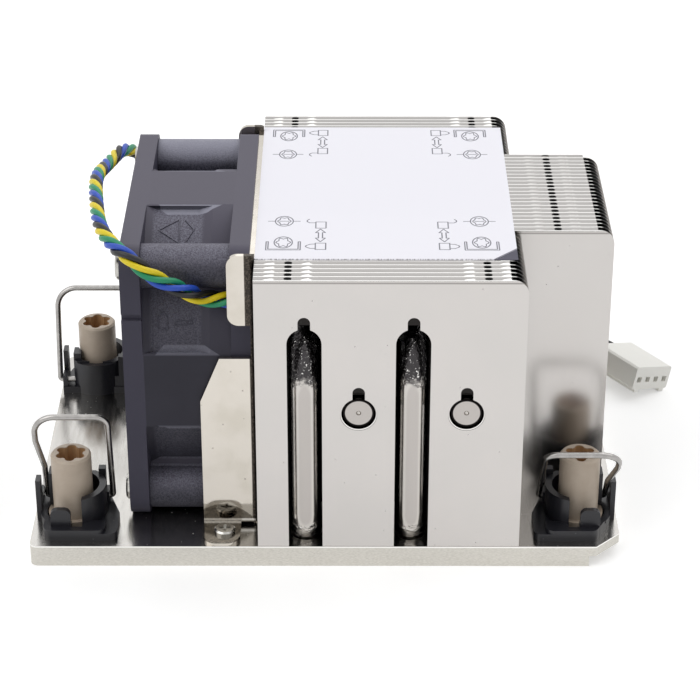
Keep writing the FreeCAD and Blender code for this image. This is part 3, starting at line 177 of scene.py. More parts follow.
class Graph:
    """A node tree with short ways to add the nodes that the finishes use."""

    def __init__(self, tree: bpy.types.NodeTree) -> None:
        """Empty a tree and take charge of it."""
        self.tree = tree
        tree.nodes.clear()

    def node(self, kind: str, inputs: dict | None = None, **settings: object) -> bpy.types.Node:
        """Add any node.

        Args:
            kind: the node's type.
            inputs: values, signals or sockets by socket name or place.
            settings: properties that are set before the sockets are filled.

        Returns:
            The node.
        """
        node = self.tree.nodes.new(kind)
        for name, value in settings.items():
            setattr(node, name, value)
        for key, value in (inputs or {}).items():
            self.feed(node.inputs[key], value)
        return node

    def out(self, output: int | str, kind: str, inputs: dict | None = None,
            **settings: object) -> Signal:
        """Add any node for one of its outputs.

        Args:
            output: the output's name or place.
            kind: the node's type.
            inputs: as for node.
            settings: as for node.

        Returns:
            What leaves that output.
        """
        return Signal(self, self.node(kind, inputs, **settings).outputs[output])

    def feed(self, socket: bpy.types.NodeSocket, value: object) -> None:
        """Link a signal to a socket, or set the socket's own value.

        Args:
            socket: the socket to feed.
            value: a signal, a socket, a number, a vector or a colour of three channels.
        """
        value = value.socket if isinstance(value, Signal) else value
        if isinstance(value, bpy.types.NodeSocket):
            self.tree.links.new(value, socket)
        elif socket.type == "RGBA" and len(value) == 3:
            socket.default_value = (*value, 1.0)
        else:
            socket.default_value = value

    def math(self, operation: str, *values: Value) -> Signal:
        """Add one Math node over values."""
        return self.out(0, "ShaderNodeMath", dict(enumerate(values)), operation=operation)

    def radius(self, x: Signal, y: Signal) -> Signal:
        """How far x and y lie from their middle."""
        return self.math("SQRT", x * x + y * y)

    def blend(self, share: Value, low: object, high: object) -> Signal:
        """Mix two colours.

        Args:
            share: how much of the second one.
            low: colour at 0.
            high: colour at 1.

        Returns:
            The mixed colour.
        """
        return self.out(2, "ShaderNodeMix", {0: share, 6: low, 7: high}, data_type="RGBA")

    def coats(self, colour: object, *coats: tuple[Value, object]) -> Signal:
        """Lay colours over one another.

        Args:
            colour: the lowest one.
            coats: for each further colour, how much of it shows, and the colour.

        Returns:
            The colour on top.
        """
        for share, over in coats:
            colour = self.blend(share, colour, over)
        return colour

    def stretched(self, where: object, x: float, y: float, z: float) -> Signal:
        """The place with each axis scaled by its own factor, for lines that run one way."""
        return self.out("Vector", "ShaderNodeVectorMath", {0: where, 1: (x, y, z)},
                        operation="MULTIPLY")

    def split(self, vector: object) -> list[Signal]:
        """The three parts of a vector."""
        node = self.node("ShaderNodeSeparateXYZ", {0: vector})
        return [Signal(self, socket) for socket in node.outputs]

    def place(self) -> list[Signal]:
        """The place on the piece in millimetres, whole and then as its three parts."""
        metres = self.out("Object", "ShaderNodeTexCoord")
        whole = self.stretched(metres, *[1 / MM] * 3)
        return [whole, *self.split(whole)]

    def upward(self) -> Signal:
        """How far a surface faces up, from -1 to 1."""
        return self.split(self.out("Normal", "ShaderNodeTexCoord"))[2]

    def grain(self, where: object, scale: float, detail: float = 3.0,
              roughness: float = 0.5) -> Signal:
        """A noise between 0 and 1.

        Args:
            where: the vector that it reads, in millimetres.
            scale: cycles in a millimetre.
            detail: octaves.
            roughness: weight of the fine octaves.

        Returns:
            Its value.
        """
        return self.out(0, "ShaderNodeTexNoise", {
            "Vector": where, "Scale": scale, "Detail": detail, "Roughness": roughness})

    def specks(self, where: object, scale: float, size: float) -> Signal:
        """Scattered round specks, such as dust.

        Args:
            where: the vector that it reads, in millimetres.
            scale: cells in a millimetre.
            size: reach of a speck as a share of its cell.

        Returns:
            A mask that is 1 in a speck.
        """
        cells = self.node("ShaderNodeTexVoronoi", {"Vector": where, "Scale": scale})
        near = 1 - Signal(self, cells.outputs["Distance"]).above(size, size * 0.5)
        pick = self.out(0, "ShaderNodeSeparateColor", {0: cells.outputs["Color"]})
        return near * pick.above(0.8, 0.05)

    def bump(self, height: Signal, depth: float, strength: float = 1.0) -> Signal:
        """A relief for a shader's Normal.

        Args:
            height: the relief, 0 to 1.
            depth: millimetres from 0 to 1.
            strength: how much of it shows.

        Returns:
            The normal.
        """
        return self.out("Normal", "ShaderNodeBump", {
            "Height": height, "Distance": depth * MM, "Strength": strength})


# ---------------------------------------------------------------- finishes

@dataclass(frozen=True)
class Finish:
    """What a surface is made of and how it looks."""

    name: str

    def material(self) -> bpy.types.Material:
        """Make the finish's material, once.

        Returns:
            The material.
        """
        name = f"{self.name}_finish"
        found = bpy.data.materials.get(name)
        if found:
            return found
        material = bpy.data.materials.new(name)
        material.use_nodes = True
        graph = Graph(material.node_tree)
        shader = graph.node("ShaderNodeBsdfPrincipled", self.surface(graph))
        graph.node("ShaderNodeOutputMaterial", {"Surface": shader.outputs[0]})
        return material

    def surface(self, graph: Graph) -> dict[str, object]:
        """What feeds each of the shader's sockets."""
        raise NotImplementedError


@dataclass(frozen=True)
class FinSheet(Finish):
    """Nickel-plated fins: a flat face, a roof of folded flanges and painted shade in the depths
    between them; each flange has a painted highlight along its fold and painted shade across the
    rest.
    """

    face: float = STACK_FRONT
    back: float = -18.8
    right: float = 38.5
    left: float = -13.4
    top: float = 63.9
    colour: Colour = tint(203, 199, 196)
    cloud: Colour = tint(200, 197, 194)
    slots: tuple[float, ...] = (SLOT_LEFT, SLOT_RIGHT)
    holes: tuple[Pair, ...] = ()
    hole_radius: float = 3.35
    lip_width: float = 0.14
    gap_width: float = 0.12
    # painted highlight along each fold, then painted shade across the rest of each flange
    fold_highlight: Colour = tint(250, 249, 246)
    flange_shade: Colour = tint(158, 155, 153)
    depth_shade: Colour = tint(44, 42, 41)
    crease_reflection: Colour = tint(96, 92, 88)
    slot_shade: Colour = tint(40, 38, 38)
    crimp_highlight_strength: float = 0.9

    def surface(self, graph: Graph) -> dict[str, object]:
        """Metal with a painted highlight along each flange's fold and painted shade across the
        rest of it and between the fins.
        """
        where, x, y, z = graph.place()
        streaks = graph.grain(graph.stretched(where, 4.0, 4.0, 0.1), 1.4)
        clouds = graph.grain(where, 0.09).above(0.5, 0.22)
        roof = z.above(self.top, 0.05)
        phase = graph.math("FRACT", (y - (STACK_FRONT - 0.1)) / FIN_PITCH)
        crimp_highlight, slot = self.crimps(graph, x, phase)
        # painted highlight along each flange's fold and on its crimps
        fold_highlight = (1 - phase.above(0.2, 0.12)).most(crimp_highlight * self.crimp_highlight_strength) * roof
        # painted shade on the fins' faces inside the stack
        inner = x.between(self.left + 0.7, self.right - 1.0, 0.4) * (1 - roof)
        deep = y.between(self.face + 0.42, self.back - 0.42, 0.06) * inner
        # painted dark reflection just below the front fin's top fold
        crease_reflection = z.between(self.top - 0.65, self.top - 0.3, 0.1)
        crease_reflection = crease_reflection * (1 - y.above(self.face + 0.2, 0.05))
        dust = graph.specks(where, 0.5, 0.08) * 0.3
        wall = graph.coats(self.colour, (clouds * 0.7, self.cloud), (crease_reflection * 0.55, self.crease_reflection))
        wall = self.flared(graph, (x, y, z), wall)
        flange = graph.coats(self.flange_shade, (fold_highlight, self.fold_highlight), (slot, self.slot_shade))
        return {
            "Base Color": graph.coats(wall, (roof, flange), (deep, self.depth_shade),
                                      (dust, tint(150, 148, 146))),
            "Metallic": 1 - dust * 0.8,
            "Roughness": 0.17 + clouds * 0.04 + streaks * 0.06 + dust * 0.4 + roof * 0.1,
            "Normal": graph.bump(streaks * 0.02 + fold_highlight, 0.07),
        }

    def crimps(self, graph: Graph, x: Signal, phase: Signal) -> tuple[Signal, Signal]:
        """Where each flange is crimped beside a slot, and where the slot itself is.

        Args:
            graph: the material's tree.
            x: the place along the fins.
            phase: the place across one flange, 0 to 1.

        Returns:
            Masks of the painted highlights on the crimps and of the painted shade in the slots.
        """
        near = reduce(Signal.least, [abs(x - middle) for middle in self.slots])
        # painted highlight on the crimp beside each slot
        crimp_highlight = graph.radius((near - 3.55) / 1.25, (phase - 0.22) / 0.36)
        # painted shade in each locking slot
        slot = graph.radius(near / 0.85, (phase - 0.55) / 0.42)
        return 1 - crimp_highlight.above(0.85, 0.25), 1 - slot.above(0.9, 0.15)

    def flared(self, graph: Graph, place: Sequence[Signal], wall: Signal) -> Signal:
        """Add the painted highlight on the flared lip below each pipe's end, and the painted shade
        in the gap round it.

        Args:
            graph: the material's tree.
            place: the place along the fins, through the stack and up.
            wall: the sheet's colour.

        Returns:
            The colour with the painted lips and gaps.
        """
        x, y, z = place
        outer = 1 - y.between(self.face + 0.3, self.back - 0.3, 0.05)
        lip_end = self.hole_radius + self.lip_width
        for middle_x, middle_z in self.holes:
            rise = z - middle_z
            radius = graph.radius(x - middle_x, rise)
            lower = (1 - rise.above(-0.6, 1.2)) * outer
            # painted highlight on the lower lip and painted shade in the gap outside it
            lip_highlight = radius.between(self.hole_radius, lip_end, 0.04) * lower
            gap_shade = radius.between(lip_end, lip_end + self.gap_width, 0.04) * lower
            wall = graph.coats(wall, (lip_highlight, tint(246, 244, 241)), (gap_shade * 0.8, tint(92, 88, 85)))
        return wall


@dataclass(frozen=True)
class BracketSheet(Finish):
    """Bright nickel-plated steel, with a crazed band of painted dark reflection round the folds of
    its ears.
    """

    colour: Colour = tint(210, 204, 195)
    stain: Colour = tint(194, 188, 176)
    crazed_shade: Colour = tint(44, 39, 36)
    scaled: Colour = tint(112, 102, 92)
    toe_shade: Colour = tint(74, 69, 62)
    fold: float = -14.65
    upper_fold: float = -15.4
    upper_ear: float = 47.0
    side: float = 30.2
    foot: float = 6.0
    toe_middle: float = -20.7
    toe_reach: float = 4.0
    toe_height: float = 9.1
    toe_fold: float = 5.65
    toe_top: float = 5.2

    def surface(self, graph: Graph) -> dict[str, object]:
        """Near-mirror metal with faint stains and dust, and painted dark reflection on its folds
        and feet.
        """
        where, x, y, z = graph.place()
        lines = graph.grain(graph.stretched(where, 3.0, 3.0, 0.2), 3.0, 2.0)
        stains = graph.grain(where, 0.14, 4.0).above(0.56, 0.16)
        craze = graph.grain(where, 4.0, 3.0, 0.7)
        reach = abs(y - FAN_AXIS[0])
        edge = z.above(self.upper_ear, 1.0) * (self.fold - self.upper_fold)
        # crazed plating with painted dark reflection on the outer face of each fold
        band = (x + edge).above(self.fold, 0.08) * reach.above(self.side, 0.15)
        band = band * z.above(self.foot, 0.3)
        dust = graph.specks(where, 0.5, 0.09) * 0.4
        dark = graph.blend(craze.above(0.56, 0.1), self.crazed_shade, self.scaled)
        colour = graph.coats(self.colour, (stains * 0.6, self.stain), (band * 0.95, dark))
        colour = self.toe(graph, (x, reach, z), craze, colour)
        return {
            "Base Color": graph.blend(dust, colour, tint(120, 112, 100)),
            "Metallic": 1 - dust * 0.8,
            "Roughness": 0.07 + stains * 0.05 + band * 0.28 + dust * 0.4,
            "Normal": graph.bump(lines * 0.03 + craze * band, 0.1),
        }

    def toe(self, graph: Graph, place: Sequence[Signal], craze: Signal, colour: Signal) -> Signal:
        """Add the painted dark reflection round each foot's fold, and the painted highlight along
        it.

        Args:
            graph: the material's tree.
            place: the place along, the reach from the fan's middle and the height.
            craze: the fine grain of the painted dark reflection.
            colour: the sheet's colour.

        Returns:
            The colour with the foot's painted reflection and highlight.
        """
        x, reach, z = place
        off = (x - self.toe_middle) / self.toe_reach
        arch = self.toe_height - off * off * 1.3 + craze * 0.9
        low = (1 - (z - arch).above(0.0, 0.15)) * reach.above(self.side - 0.9, 0.1)
        low = low * z.above(self.toe_top, 0.03)
        # painted highlight along the fold, within the painted dark reflection
        line = z.between(self.toe_fold, self.toe_fold + 0.55, 0.1)
        toe_shade = graph.blend(craze.above(0.5, 0.12), self.toe_shade, tint(134, 126, 114))
        return graph.coats(colour, (low * 0.9, toe_shade),
                           (low * line * (0.6 + craze * 0.5), tint(252, 250, 246)))


@dataclass(frozen=True)
class PlatedBase(Finish):
    """The base plate's bright plating, with a painted highlight along its top edge, wiping marks
    and dust.
    """

    colour: Colour = tint(136, 132, 127)
    side_low: Colour = tint(194, 191, 183)
    side_high: Colour = tint(216, 213, 206)
    edge_highlight: Colour = tint(252, 251, 248)
    top: float = 4.6
    edge: float = 0.32

    def surface(self, graph: Graph) -> dict[str, object]:
        """Near-mirror metal that is duller on its milled sides."""
        where, x, y, z = graph.place()
        side = 1 - z.above(self.top - 0.02, 0.01)
        # painted highlight along the top edge
        rim = z.between(self.top - self.edge, self.top - 0.01, 0.06)
        mill = graph.grain(graph.stretched(where, 0.5, 0.5, 3.0), 3.5, 4.0, 0.7)
        wipe = graph.grain(graph.stretched(where, 0.9, 0.12, 0.9), 1.2).above(0.52, 0.2)
        dust = graph.specks(where, 0.42, 0.07)
        fine = graph.specks(where, 1.1, 0.08) * 0.7
        dirt = dust.most(fine) * (1 - side * 0.8)
        ground = graph.blend(mill.above(0.5, 0.16), self.side_low, self.side_high)
        colour = graph.coats(self.colour, (side, ground), (rim * 0.85, self.edge_highlight))
        return {
            "Base Color": graph.blend(dirt * 0.8, colour, tint(240, 239, 236)),
            "Metallic": 1 - dirt * 0.85,
            "Roughness": 0.17 + wipe * 0.08 + side * 0.15 + dirt * 0.4,
            "Normal": graph.bump(mill * side + wipe * 0.03, 0.012),
        }


@dataclass(frozen=True)
class PlatedPipe(Finish):
    """A soldered heat pipe: bright below, hammered at its bends with painted dark reflection and
    painted highlights there, and painted shade at its rim.
    """

    colour: Colour = tint(196, 192, 187)
    bend_shade: Colour = tint(44, 42, 46)
    pipe_highlight: Colour = tint(250, 248, 244)
    solder_shade_low: float = 41.5
    solder_shade_high: float = 60.0
    foot: float = 8.6
    ends: tuple[tuple[float, float, int], ...] = (
        (PIPE_X[1], 35.1, -1), (PIPE_X[3], 35.1, -1), (PIPE_X[0], 50.3, 1),
        (PIPE_X[2], 50.3, 1))
    radius: float = 3.0
    bevel: float = 0.38
    face: float = 38.3

    def surface(self, graph: Graph) -> dict[str, object]:
        """Metal that is rough on its upper bends, with painted dark reflection there."""
        where, x, y, z = graph.place()
        ragged = z + graph.grain(where, 0.9) * 5.0 - 2.5
        cut = abs(y).above(self.face, 0.1)
        # hammered solder on the upper bends, darkened by painted dark reflection
        solder_shade = ragged.between(self.solder_shade_low, self.solder_shade_high, 0.9) * (1 - cut)
        dents = graph.grain(where, 0.95, 1.5)
        fine = graph.grain(where, 3.2, 2.0)
        rough = solder_shade.most(1 - ragged.above(self.foot, 0.9))
        # painted highlights on the hammered dents
        highlight_specks = fine.above(0.62, 0.05) * dents.above(0.52, 0.1) * rough
        relief = (dents + fine * 0.3) * (0.05 + rough * 0.95)
        # painted shade on the rim of each cut end
        rim = self.rim(graph, (x, y, z))
        colour = graph.coats(self.colour, (solder_shade * 0.93, self.bend_shade), (highlight_specks, self.pipe_highlight),
                             (cut, tint(182, 177, 173)), (rim, tint(24, 22, 22)))
        return {
            "Base Color": colour,
            "Metallic": 1.0,
            "Roughness": 0.13 + solder_shade * 0.1 + fine * 0.06 + rim * 0.2,
            "Normal": graph.bump(relief, 0.25, 0.9),
        }

    def rim(self, graph: Graph, place: Sequence[Signal]) -> Signal:
        """Where the cut ends turn down into their holes, for the painted shade on that rim.

        Args:
            graph: the material's tree.
            place: the place along the fins, through the stack and up.

        Returns:
            A mask.
        """
        x, y, z = place
        found: Value = 0.0
        for middle_x, middle_z, side in self.ends:
            radius = graph.radius(x - middle_x, z - middle_z)
            ring = radius.above(self.radius - self.bevel, 0.07)
            ring = ring * (1 - radius.above(self.radius + 1.0, 0.1))
            found = ring * (y * side).above(self.face, 0.1) + found
        return found


@dataclass(frozen=True)
class MouldedPlastic(Finish):
    """Moulded plastic with a spark-eroded grain or a nearly smooth face."""

    colour: Colour = tint(24, 24, 27)
    roughness: float = 0.4
    grain: float = 0.03
    grain_scale: float = 2.6
    specular: float = 0.5
    dust: float = 0.0
    shade: float = 0.7

    def surface(self, graph: Graph) -> dict[str, object]:
        """Plastic whose shine breaks up over the grain."""
        where = graph.place()[0]
        pits = graph.grain(where, self.grain_scale, 3.0, 0.6)
        cloud = graph.grain(where, 0.15, 2.0)
        dust = graph.specks(where, 0.8, 0.1) * self.dust
        shade = dimmed(self.colour, self.shade)
        return {
            "Base Color": graph.coats(shade, (cloud, self.colour), (dust, tint(150, 150, 150))),
            "Roughness": self.roughness + pits * 0.12 - cloud * 0.04,
            "Specular IOR Level": self.specular,
            "Normal": graph.bump(pits, self.grain),
        }


@dataclass(frozen=True)
class NutPlastic(Finish):
    """The nuts' tan plastic, browner down in the driver socket."""

    colour: Colour = tint(200, 186, 170)
    shade: Colour = tint(182, 166, 148)
    socket: Colour = tint(184, 147, 108)
    spread: Pair = (51.0, 28.0)
    reach: float = 3.25
    top: float = 19.55
    floor: float = 8.0

    def surface(self, graph: Graph) -> dict[str, object]:
        """Slightly translucent plastic, mottled, browner in its socket."""
        where, x, y, z = graph.place()
        radius = graph.radius(abs(x) - self.spread[0], abs(y) - self.spread[1])
        inside = (1 - radius.above(self.reach, 0.08)) * (1 - z.above(self.top, 0.1))
        fine = graph.grain(where, 2.6)
        return {
            "Base Color": graph.coats(self.shade, (graph.grain(where, 0.5), self.colour),
                                      (inside * z.above(self.floor, 1.0), self.socket)),
            "Roughness": 0.4 + fine * 0.1,
            "Specular IOR Level": 0.45,
            "Normal": graph.bump(fine, 0.02),
        }


@dataclass(frozen=True)
class FanPlastic(Finish):
    """The fan's black plastic: smooth on its rims, grained between, with painted light on its
    upward faces, painted sheen on its flanges and painted highlights on its grain and slopes.
    """

    colour: Colour = tint(52, 51, 61)
    low: Colour = tint(42, 41, 50)
    top_light: Colour = tint(88, 85, 98)
    fan_highlight: Colour = tint(150, 150, 164)
    flange: Colour = tint(68, 66, 80)
    rims: Pair = (-35.4, -18.3)
    reach: float = 31.2
    floor: float = 31.02
    ends: Pair = (14.9, 18.4)
    sides: Pair = (-33.1, -20.5)

    def surface(self, graph: Graph) -> dict[str, object]:
        """Black plastic that is coarser between the rims, with painted light where it faces up."""
        where, x, y, z = graph.place()
        off_y, off_z = y - FAN_AXIS[0], z - FAN_AXIS[1]
        radius = graph.radius(off_y, off_z)
        sunk = 1 - radius.above(self.reach - 0.9, 0.2)
        posts = radius.above(self.reach + 0.2, 0.15)
        between = x.between(*self.rims, 0.1)
        turn = abs(graph.math("PINGPONG", graph.math("ARCTAN2", off_y, off_z), math.pi / 4))
        sunk = sunk * turn.above(math.radians(self.ends[0]), 0.004)
        rough = (sunk + posts).least(1.0) * between
        pits = graph.grain(where, 3.6, 3.0, 0.7)
        fine = graph.grain(where, 5.0, 2.0)
        cloud = graph.grain(where, 0.12, 2.0)
        # film: upward faces, which get painted light
        film = graph.upward().above(0.45, 0.5)
        rear = y.above(14.0, 6.0)
        # painted highlights on the grain, more toward the lit back
        grain_highlight = pits.above(0.5, 0.14) * rough * (film * (0.55 + rear * 0.4)).most(0.2)
        dust = graph.specks(where, 0.6, 0.06) * 0.35
        wall = self.slope(x, turn) * (1 - radius.above(self.floor, 0.04))
        # painted highlight on the sloping walls
        lit = film.most(0.35) * (0.7 + pits * 0.6)
        # painted sheen lightens the flanges
        body = graph.coats(self.low, (cloud, self.colour), ((1 - between) * 0.8, self.flange),
                           (film * 0.9, self.top_light), (rear * film * rough * 0.85, self.fan_highlight),
                           (wall * lit, self.fan_highlight), (grain_highlight, self.fan_highlight))
        return {
            "Base Color": graph.blend(dust, body, tint(130, 130, 132)),
            "Roughness": 0.42 + fine * 0.08,
            "Specular IOR Level": 0.22,
            "Normal": graph.bump(pits * rough + fine * 0.12, 0.11),
        }

    def slope(self, x: Signal, turn: Signal) -> Signal:
        """Where the sunk panels rise to the fan's flats, for a painted highlight.

        Args:
            x: the place along the fan's axis.
            turn: the angle about that axis from the nearest flat's middle.

        Returns:
            A mask of the sloping walls, narrower toward the panels' floors.
        """
        start, end = (math.radians(edge) for edge in self.ends)
        share = (turn - start) / (end - start)
        low, high = share * 1.7 + self.sides[0], self.sides[1] - share * 2.9
        inside = (x - low).above(0.0, 0.12) * (high - x).above(0.0, 0.12)
        return turn.between(start, end, 0.006) * inside


@dataclass(frozen=True)
class DrawnWire(Finish):
    """Bright spring wire, with the faint lines that its die left."""

    colour: Colour = tint(188, 185, 182)

    def surface(self, graph: Graph) -> dict[str, object]:
        """Metal with fine scratches."""
        where = graph.place()[0]
        scratches = graph.grain(graph.stretched(where, 3.0, 3.0, 0.35), 4.0, 2.0)
        cloud = graph.grain(where, 0.7, 2.0)
        return {
            "Base Color": graph.blend(cloud, self.colour, tint(140, 138, 136)),
            "Metallic": 1.0,
            "Roughness": 0.16 + scratches * 0.1 + cloud * 0.06,
            "Normal": graph.bump(scratches, 0.006),
        }


@dataclass(frozen=True)
class Insulation(Finish):
    """The soft plastic round one wire of the lead."""

    colour: Colour = tint(240, 220, 30)
    shade: float = 0.82

    def surface(self, graph: Graph) -> dict[str, object]:
        """Slightly uneven plastic with a soft shine."""
        where = graph.place()[0]
        ripple = graph.grain(where, 0.9, 2.0)
        shade = dimmed(self.colour, self.shade)
        return {
            "Base Color": graph.blend(ripple, shade, self.colour),
            "Roughness": 0.36 + ripple * 0.1,
            "Normal": graph.bump(ripple, 0.03),
        }


class Mark:
    """Lines of one width printed on a flat face, drawn with distances in millimetres."""

    def __init__(self, x: Signal, y: Signal, line: float) -> None:
        """Set the two distances that the lines are drawn in, and half the lines' width."""
        self.x, self.y, self.line = x, y, line
        self.distances: list[Signal] = []

    def ring(self, at: Pair, reach: Pair, lobes: float) -> None:
        """Draw an ellipse, or one that has six lobes.

        Args:
            at: its middle.
            reach: its half widths.
            lobes: how far six lobes come out, as a share of the ring.
        """
        graph = self.x.graph
        x, y = (self.x - at[0]) / reach[0], (self.y - at[1]) / reach[1]
        edge: Value = 1.0
        if lobes:
            edge = graph.math("COSINE", graph.math("ARCTAN2", y, x) * 6.0) * lobes + 1.0
        self.distances.append(abs(graph.radius(x, y) - edge) * min(reach) - self.line)

    def run(self, points: Sequence[Pair]) -> None:
        """Draw a line through points."""
        for start, end in zip(points, points[1:]):
            run_x, run_y = end[0] - start[0], end[1] - start[1]
            x, y = self.x - start[0], self.y - start[1]
            along = (x * run_x + y * run_y) / (run_x ** 2 + run_y ** 2)
            along = along.most(0.0).least(1.0)
            off = self.x.graph.radius(x - along * run_x, y - along * run_y)
            self.distances.append(off - self.line)


@dataclass(frozen=True)
class PrintedFilm(Finish):
    """The label's white film, with the same plain line pictograms toward each corner.

    The rings are a nut in its holder and, above it, the nut under its wire. The runs are that
    holder, the wire, two locks' bodies, a closed and an open shackle, and an arrow.
    """

    colour: Colour = tint(246, 245, 253)
    ink: Colour = tint(82, 82, 96)
    flag: Colour = tint(100, 98, 114)
    top: float = 64.115
    middle: Pair = (11.1, 2.5)
    reach: Pair = (19.15, 25.45)
    corner: float = 62.3
    front_edge: float = -29.95
    line: float = 0.11
    rings: tuple[tuple[Pair, Pair, float], ...] = (
        ((0.0, 0.0), (1.75, 2.4), 0.0), ((0.0, 0.0), (1.2, 1.72), 0.16),
        ((0.0, 9.4), (1.75, 2.2), 0.0), ((0.0, 9.4), (1.15, 1.55), 0.12))
    runs: tuple[tuple[Pair, ...], ...] = (
        ((-3.3, 0.3), (-3.3, -3.3), (3.3, -3.3), (3.3, 0.3), (2.9, 0.3), (2.9, -2.9),
         (-2.9, -2.9), (-2.9, 0.3), (-3.3, 0.3)),
        ((-3.1, 9.4), (-1.8, 9.4)), ((-0.9, 9.4), (0.9, 9.4)), ((1.8, 9.4), (3.1, 9.4)),
        ((6.2, -3.1), (8.2, -3.1), (8.2, -0.3), (6.2, -0.3), (6.2, -3.1)),
        ((6.2, 6.3), (8.2, 6.3), (8.2, 9.1), (6.2, 9.1), (6.2, 6.3)),
        ((6.2, -2.7), (5.2, -2.6), (4.5, -2.1), (4.3, -1.7), (4.5, -1.3), (5.2, -0.8),
         (6.2, -0.7)),
        ((6.2, 8.7), (5.0, 8.7), (4.5, 9.2), (4.5, 9.8), (4.9, 10.3)),
        ((6.75, 1.9), (6.75, 4.3), (6.2, 4.3), (7.15, 5.9), (8.1, 4.3), (7.55, 4.3),
         (7.55, 1.9), (8.1, 1.9), (7.15, 0.3), (6.2, 1.9), (6.75, 1.9)))

    def surface(self, graph: Graph) -> dict[str, object]:
        """White film with grey line marks, smooth and faintly wavy, with painted shade in dashes
        along its front edge.
        """
        where, x, y, z = graph.place()
        across = self.reach[0] - abs(x - self.middle[0])
        along = self.reach[1] - abs(y - self.middle[1])
        mark = Mark(across, along, self.line)
        for ring in self.rings:
            mark.ring(*ring)
        for points in self.runs:
            mark.run(points)
        face = z.above(self.top, 0.002)
        ink = (1 - reduce(Signal.least, mark.distances).above(0.0, 0.05)) * face
        flag = (x - y).above(self.corner, 0.06) * face
        wave = graph.grain(where, 0.08, 2.0)
        edge_dashes = graph.grain(graph.stretched(where, 1.0, 0.0, 0.0), 2.2, 3.0, 0.7)
        # painted shade in dashes where the front edge dips over the gaps between flanges
        edge_dip_shade = (1 - y.above(self.front_edge, 0.12)) * edge_dashes.above(0.5, 0.06)
        return {
            "Base Color": graph.coats(self.colour, (ink, self.ink),
                                      (edge_dip_shade * 0.7, tint(120, 118, 122)), (flag, self.flag)),
            "Roughness": 0.42 + wave * 0.08,
            "Coat Weight": 0.12,
            "Normal": graph.bump(wave, 0.05),
        }


@dataclass(frozen=True)
class WoundWire(Finish):
    """Enamelled copper laid in turns."""

    colour: Colour = tint(186, 96, 44)

    def surface(self, graph: Graph) -> dict[str, object]:
        """Copper with a ridge for each turn and painted shade between the turns."""
        where, x, _, _ = graph.place()
        # darker between the turns: painted shade
        turns = graph.math("SINE", x * (2 * math.pi / 0.32)) * 0.5 + 0.5
        return {
            "Base Color": graph.blend(turns, tint(96, 42, 20), self.colour),
            "Metallic": 0.85,
            "Roughness": 0.3 + turns * 0.08,
            "Normal": graph.bump(turns, 0.08),
        }


@dataclass(frozen=True)
class BoardMask(Finish):
    """A circuit board under its green mask, with fine tracks."""

    colour: Colour = tint(22, 84, 52)

    def surface(self, graph: Graph) -> dict[str, object]:
        """Green mask that is lighter over the tracks."""
        _, _, y, z = graph.place()
        tracks = graph.math("SINE", (y + z) * 2.6) * graph.math("SINE", (y - z) * 1.9)
        copper = tracks.above(0.55, 0.05)
        return {
            "Base Color": graph.blend(copper, self.colour, tint(52, 128, 82)),
            "Roughness": 0.34 + copper * 0.06,
            "Coat Weight": 0.3,
            "Normal": graph.bump(copper, 0.03),
        }


@dataclass(frozen=True)
class TurnedSteel(Finish):
    """Steel of a screw, a shaft or a bearing, with its turning marks."""

    colour: Colour = tint(176, 174, 170)
    roughness: float = 0.22

    def surface(self, graph: Graph) -> dict[str, object]:
        """Metal with close rings along X and Z."""
        where = graph.place()[0]
        rings = graph.grain(graph.stretched(where, 5.0, 0.6, 5.0), 2.5, 2.0)
        cloud = graph.grain(where, 0.5, 2.0)
        return {
            "Base Color": graph.blend(cloud * 0.6, self.colour, tint(140, 138, 134)),
            "Metallic": 1.0,
            "Roughness": self.roughness + rings * 0.1,
            "Normal": graph.bump(rings, 0.01),
        }


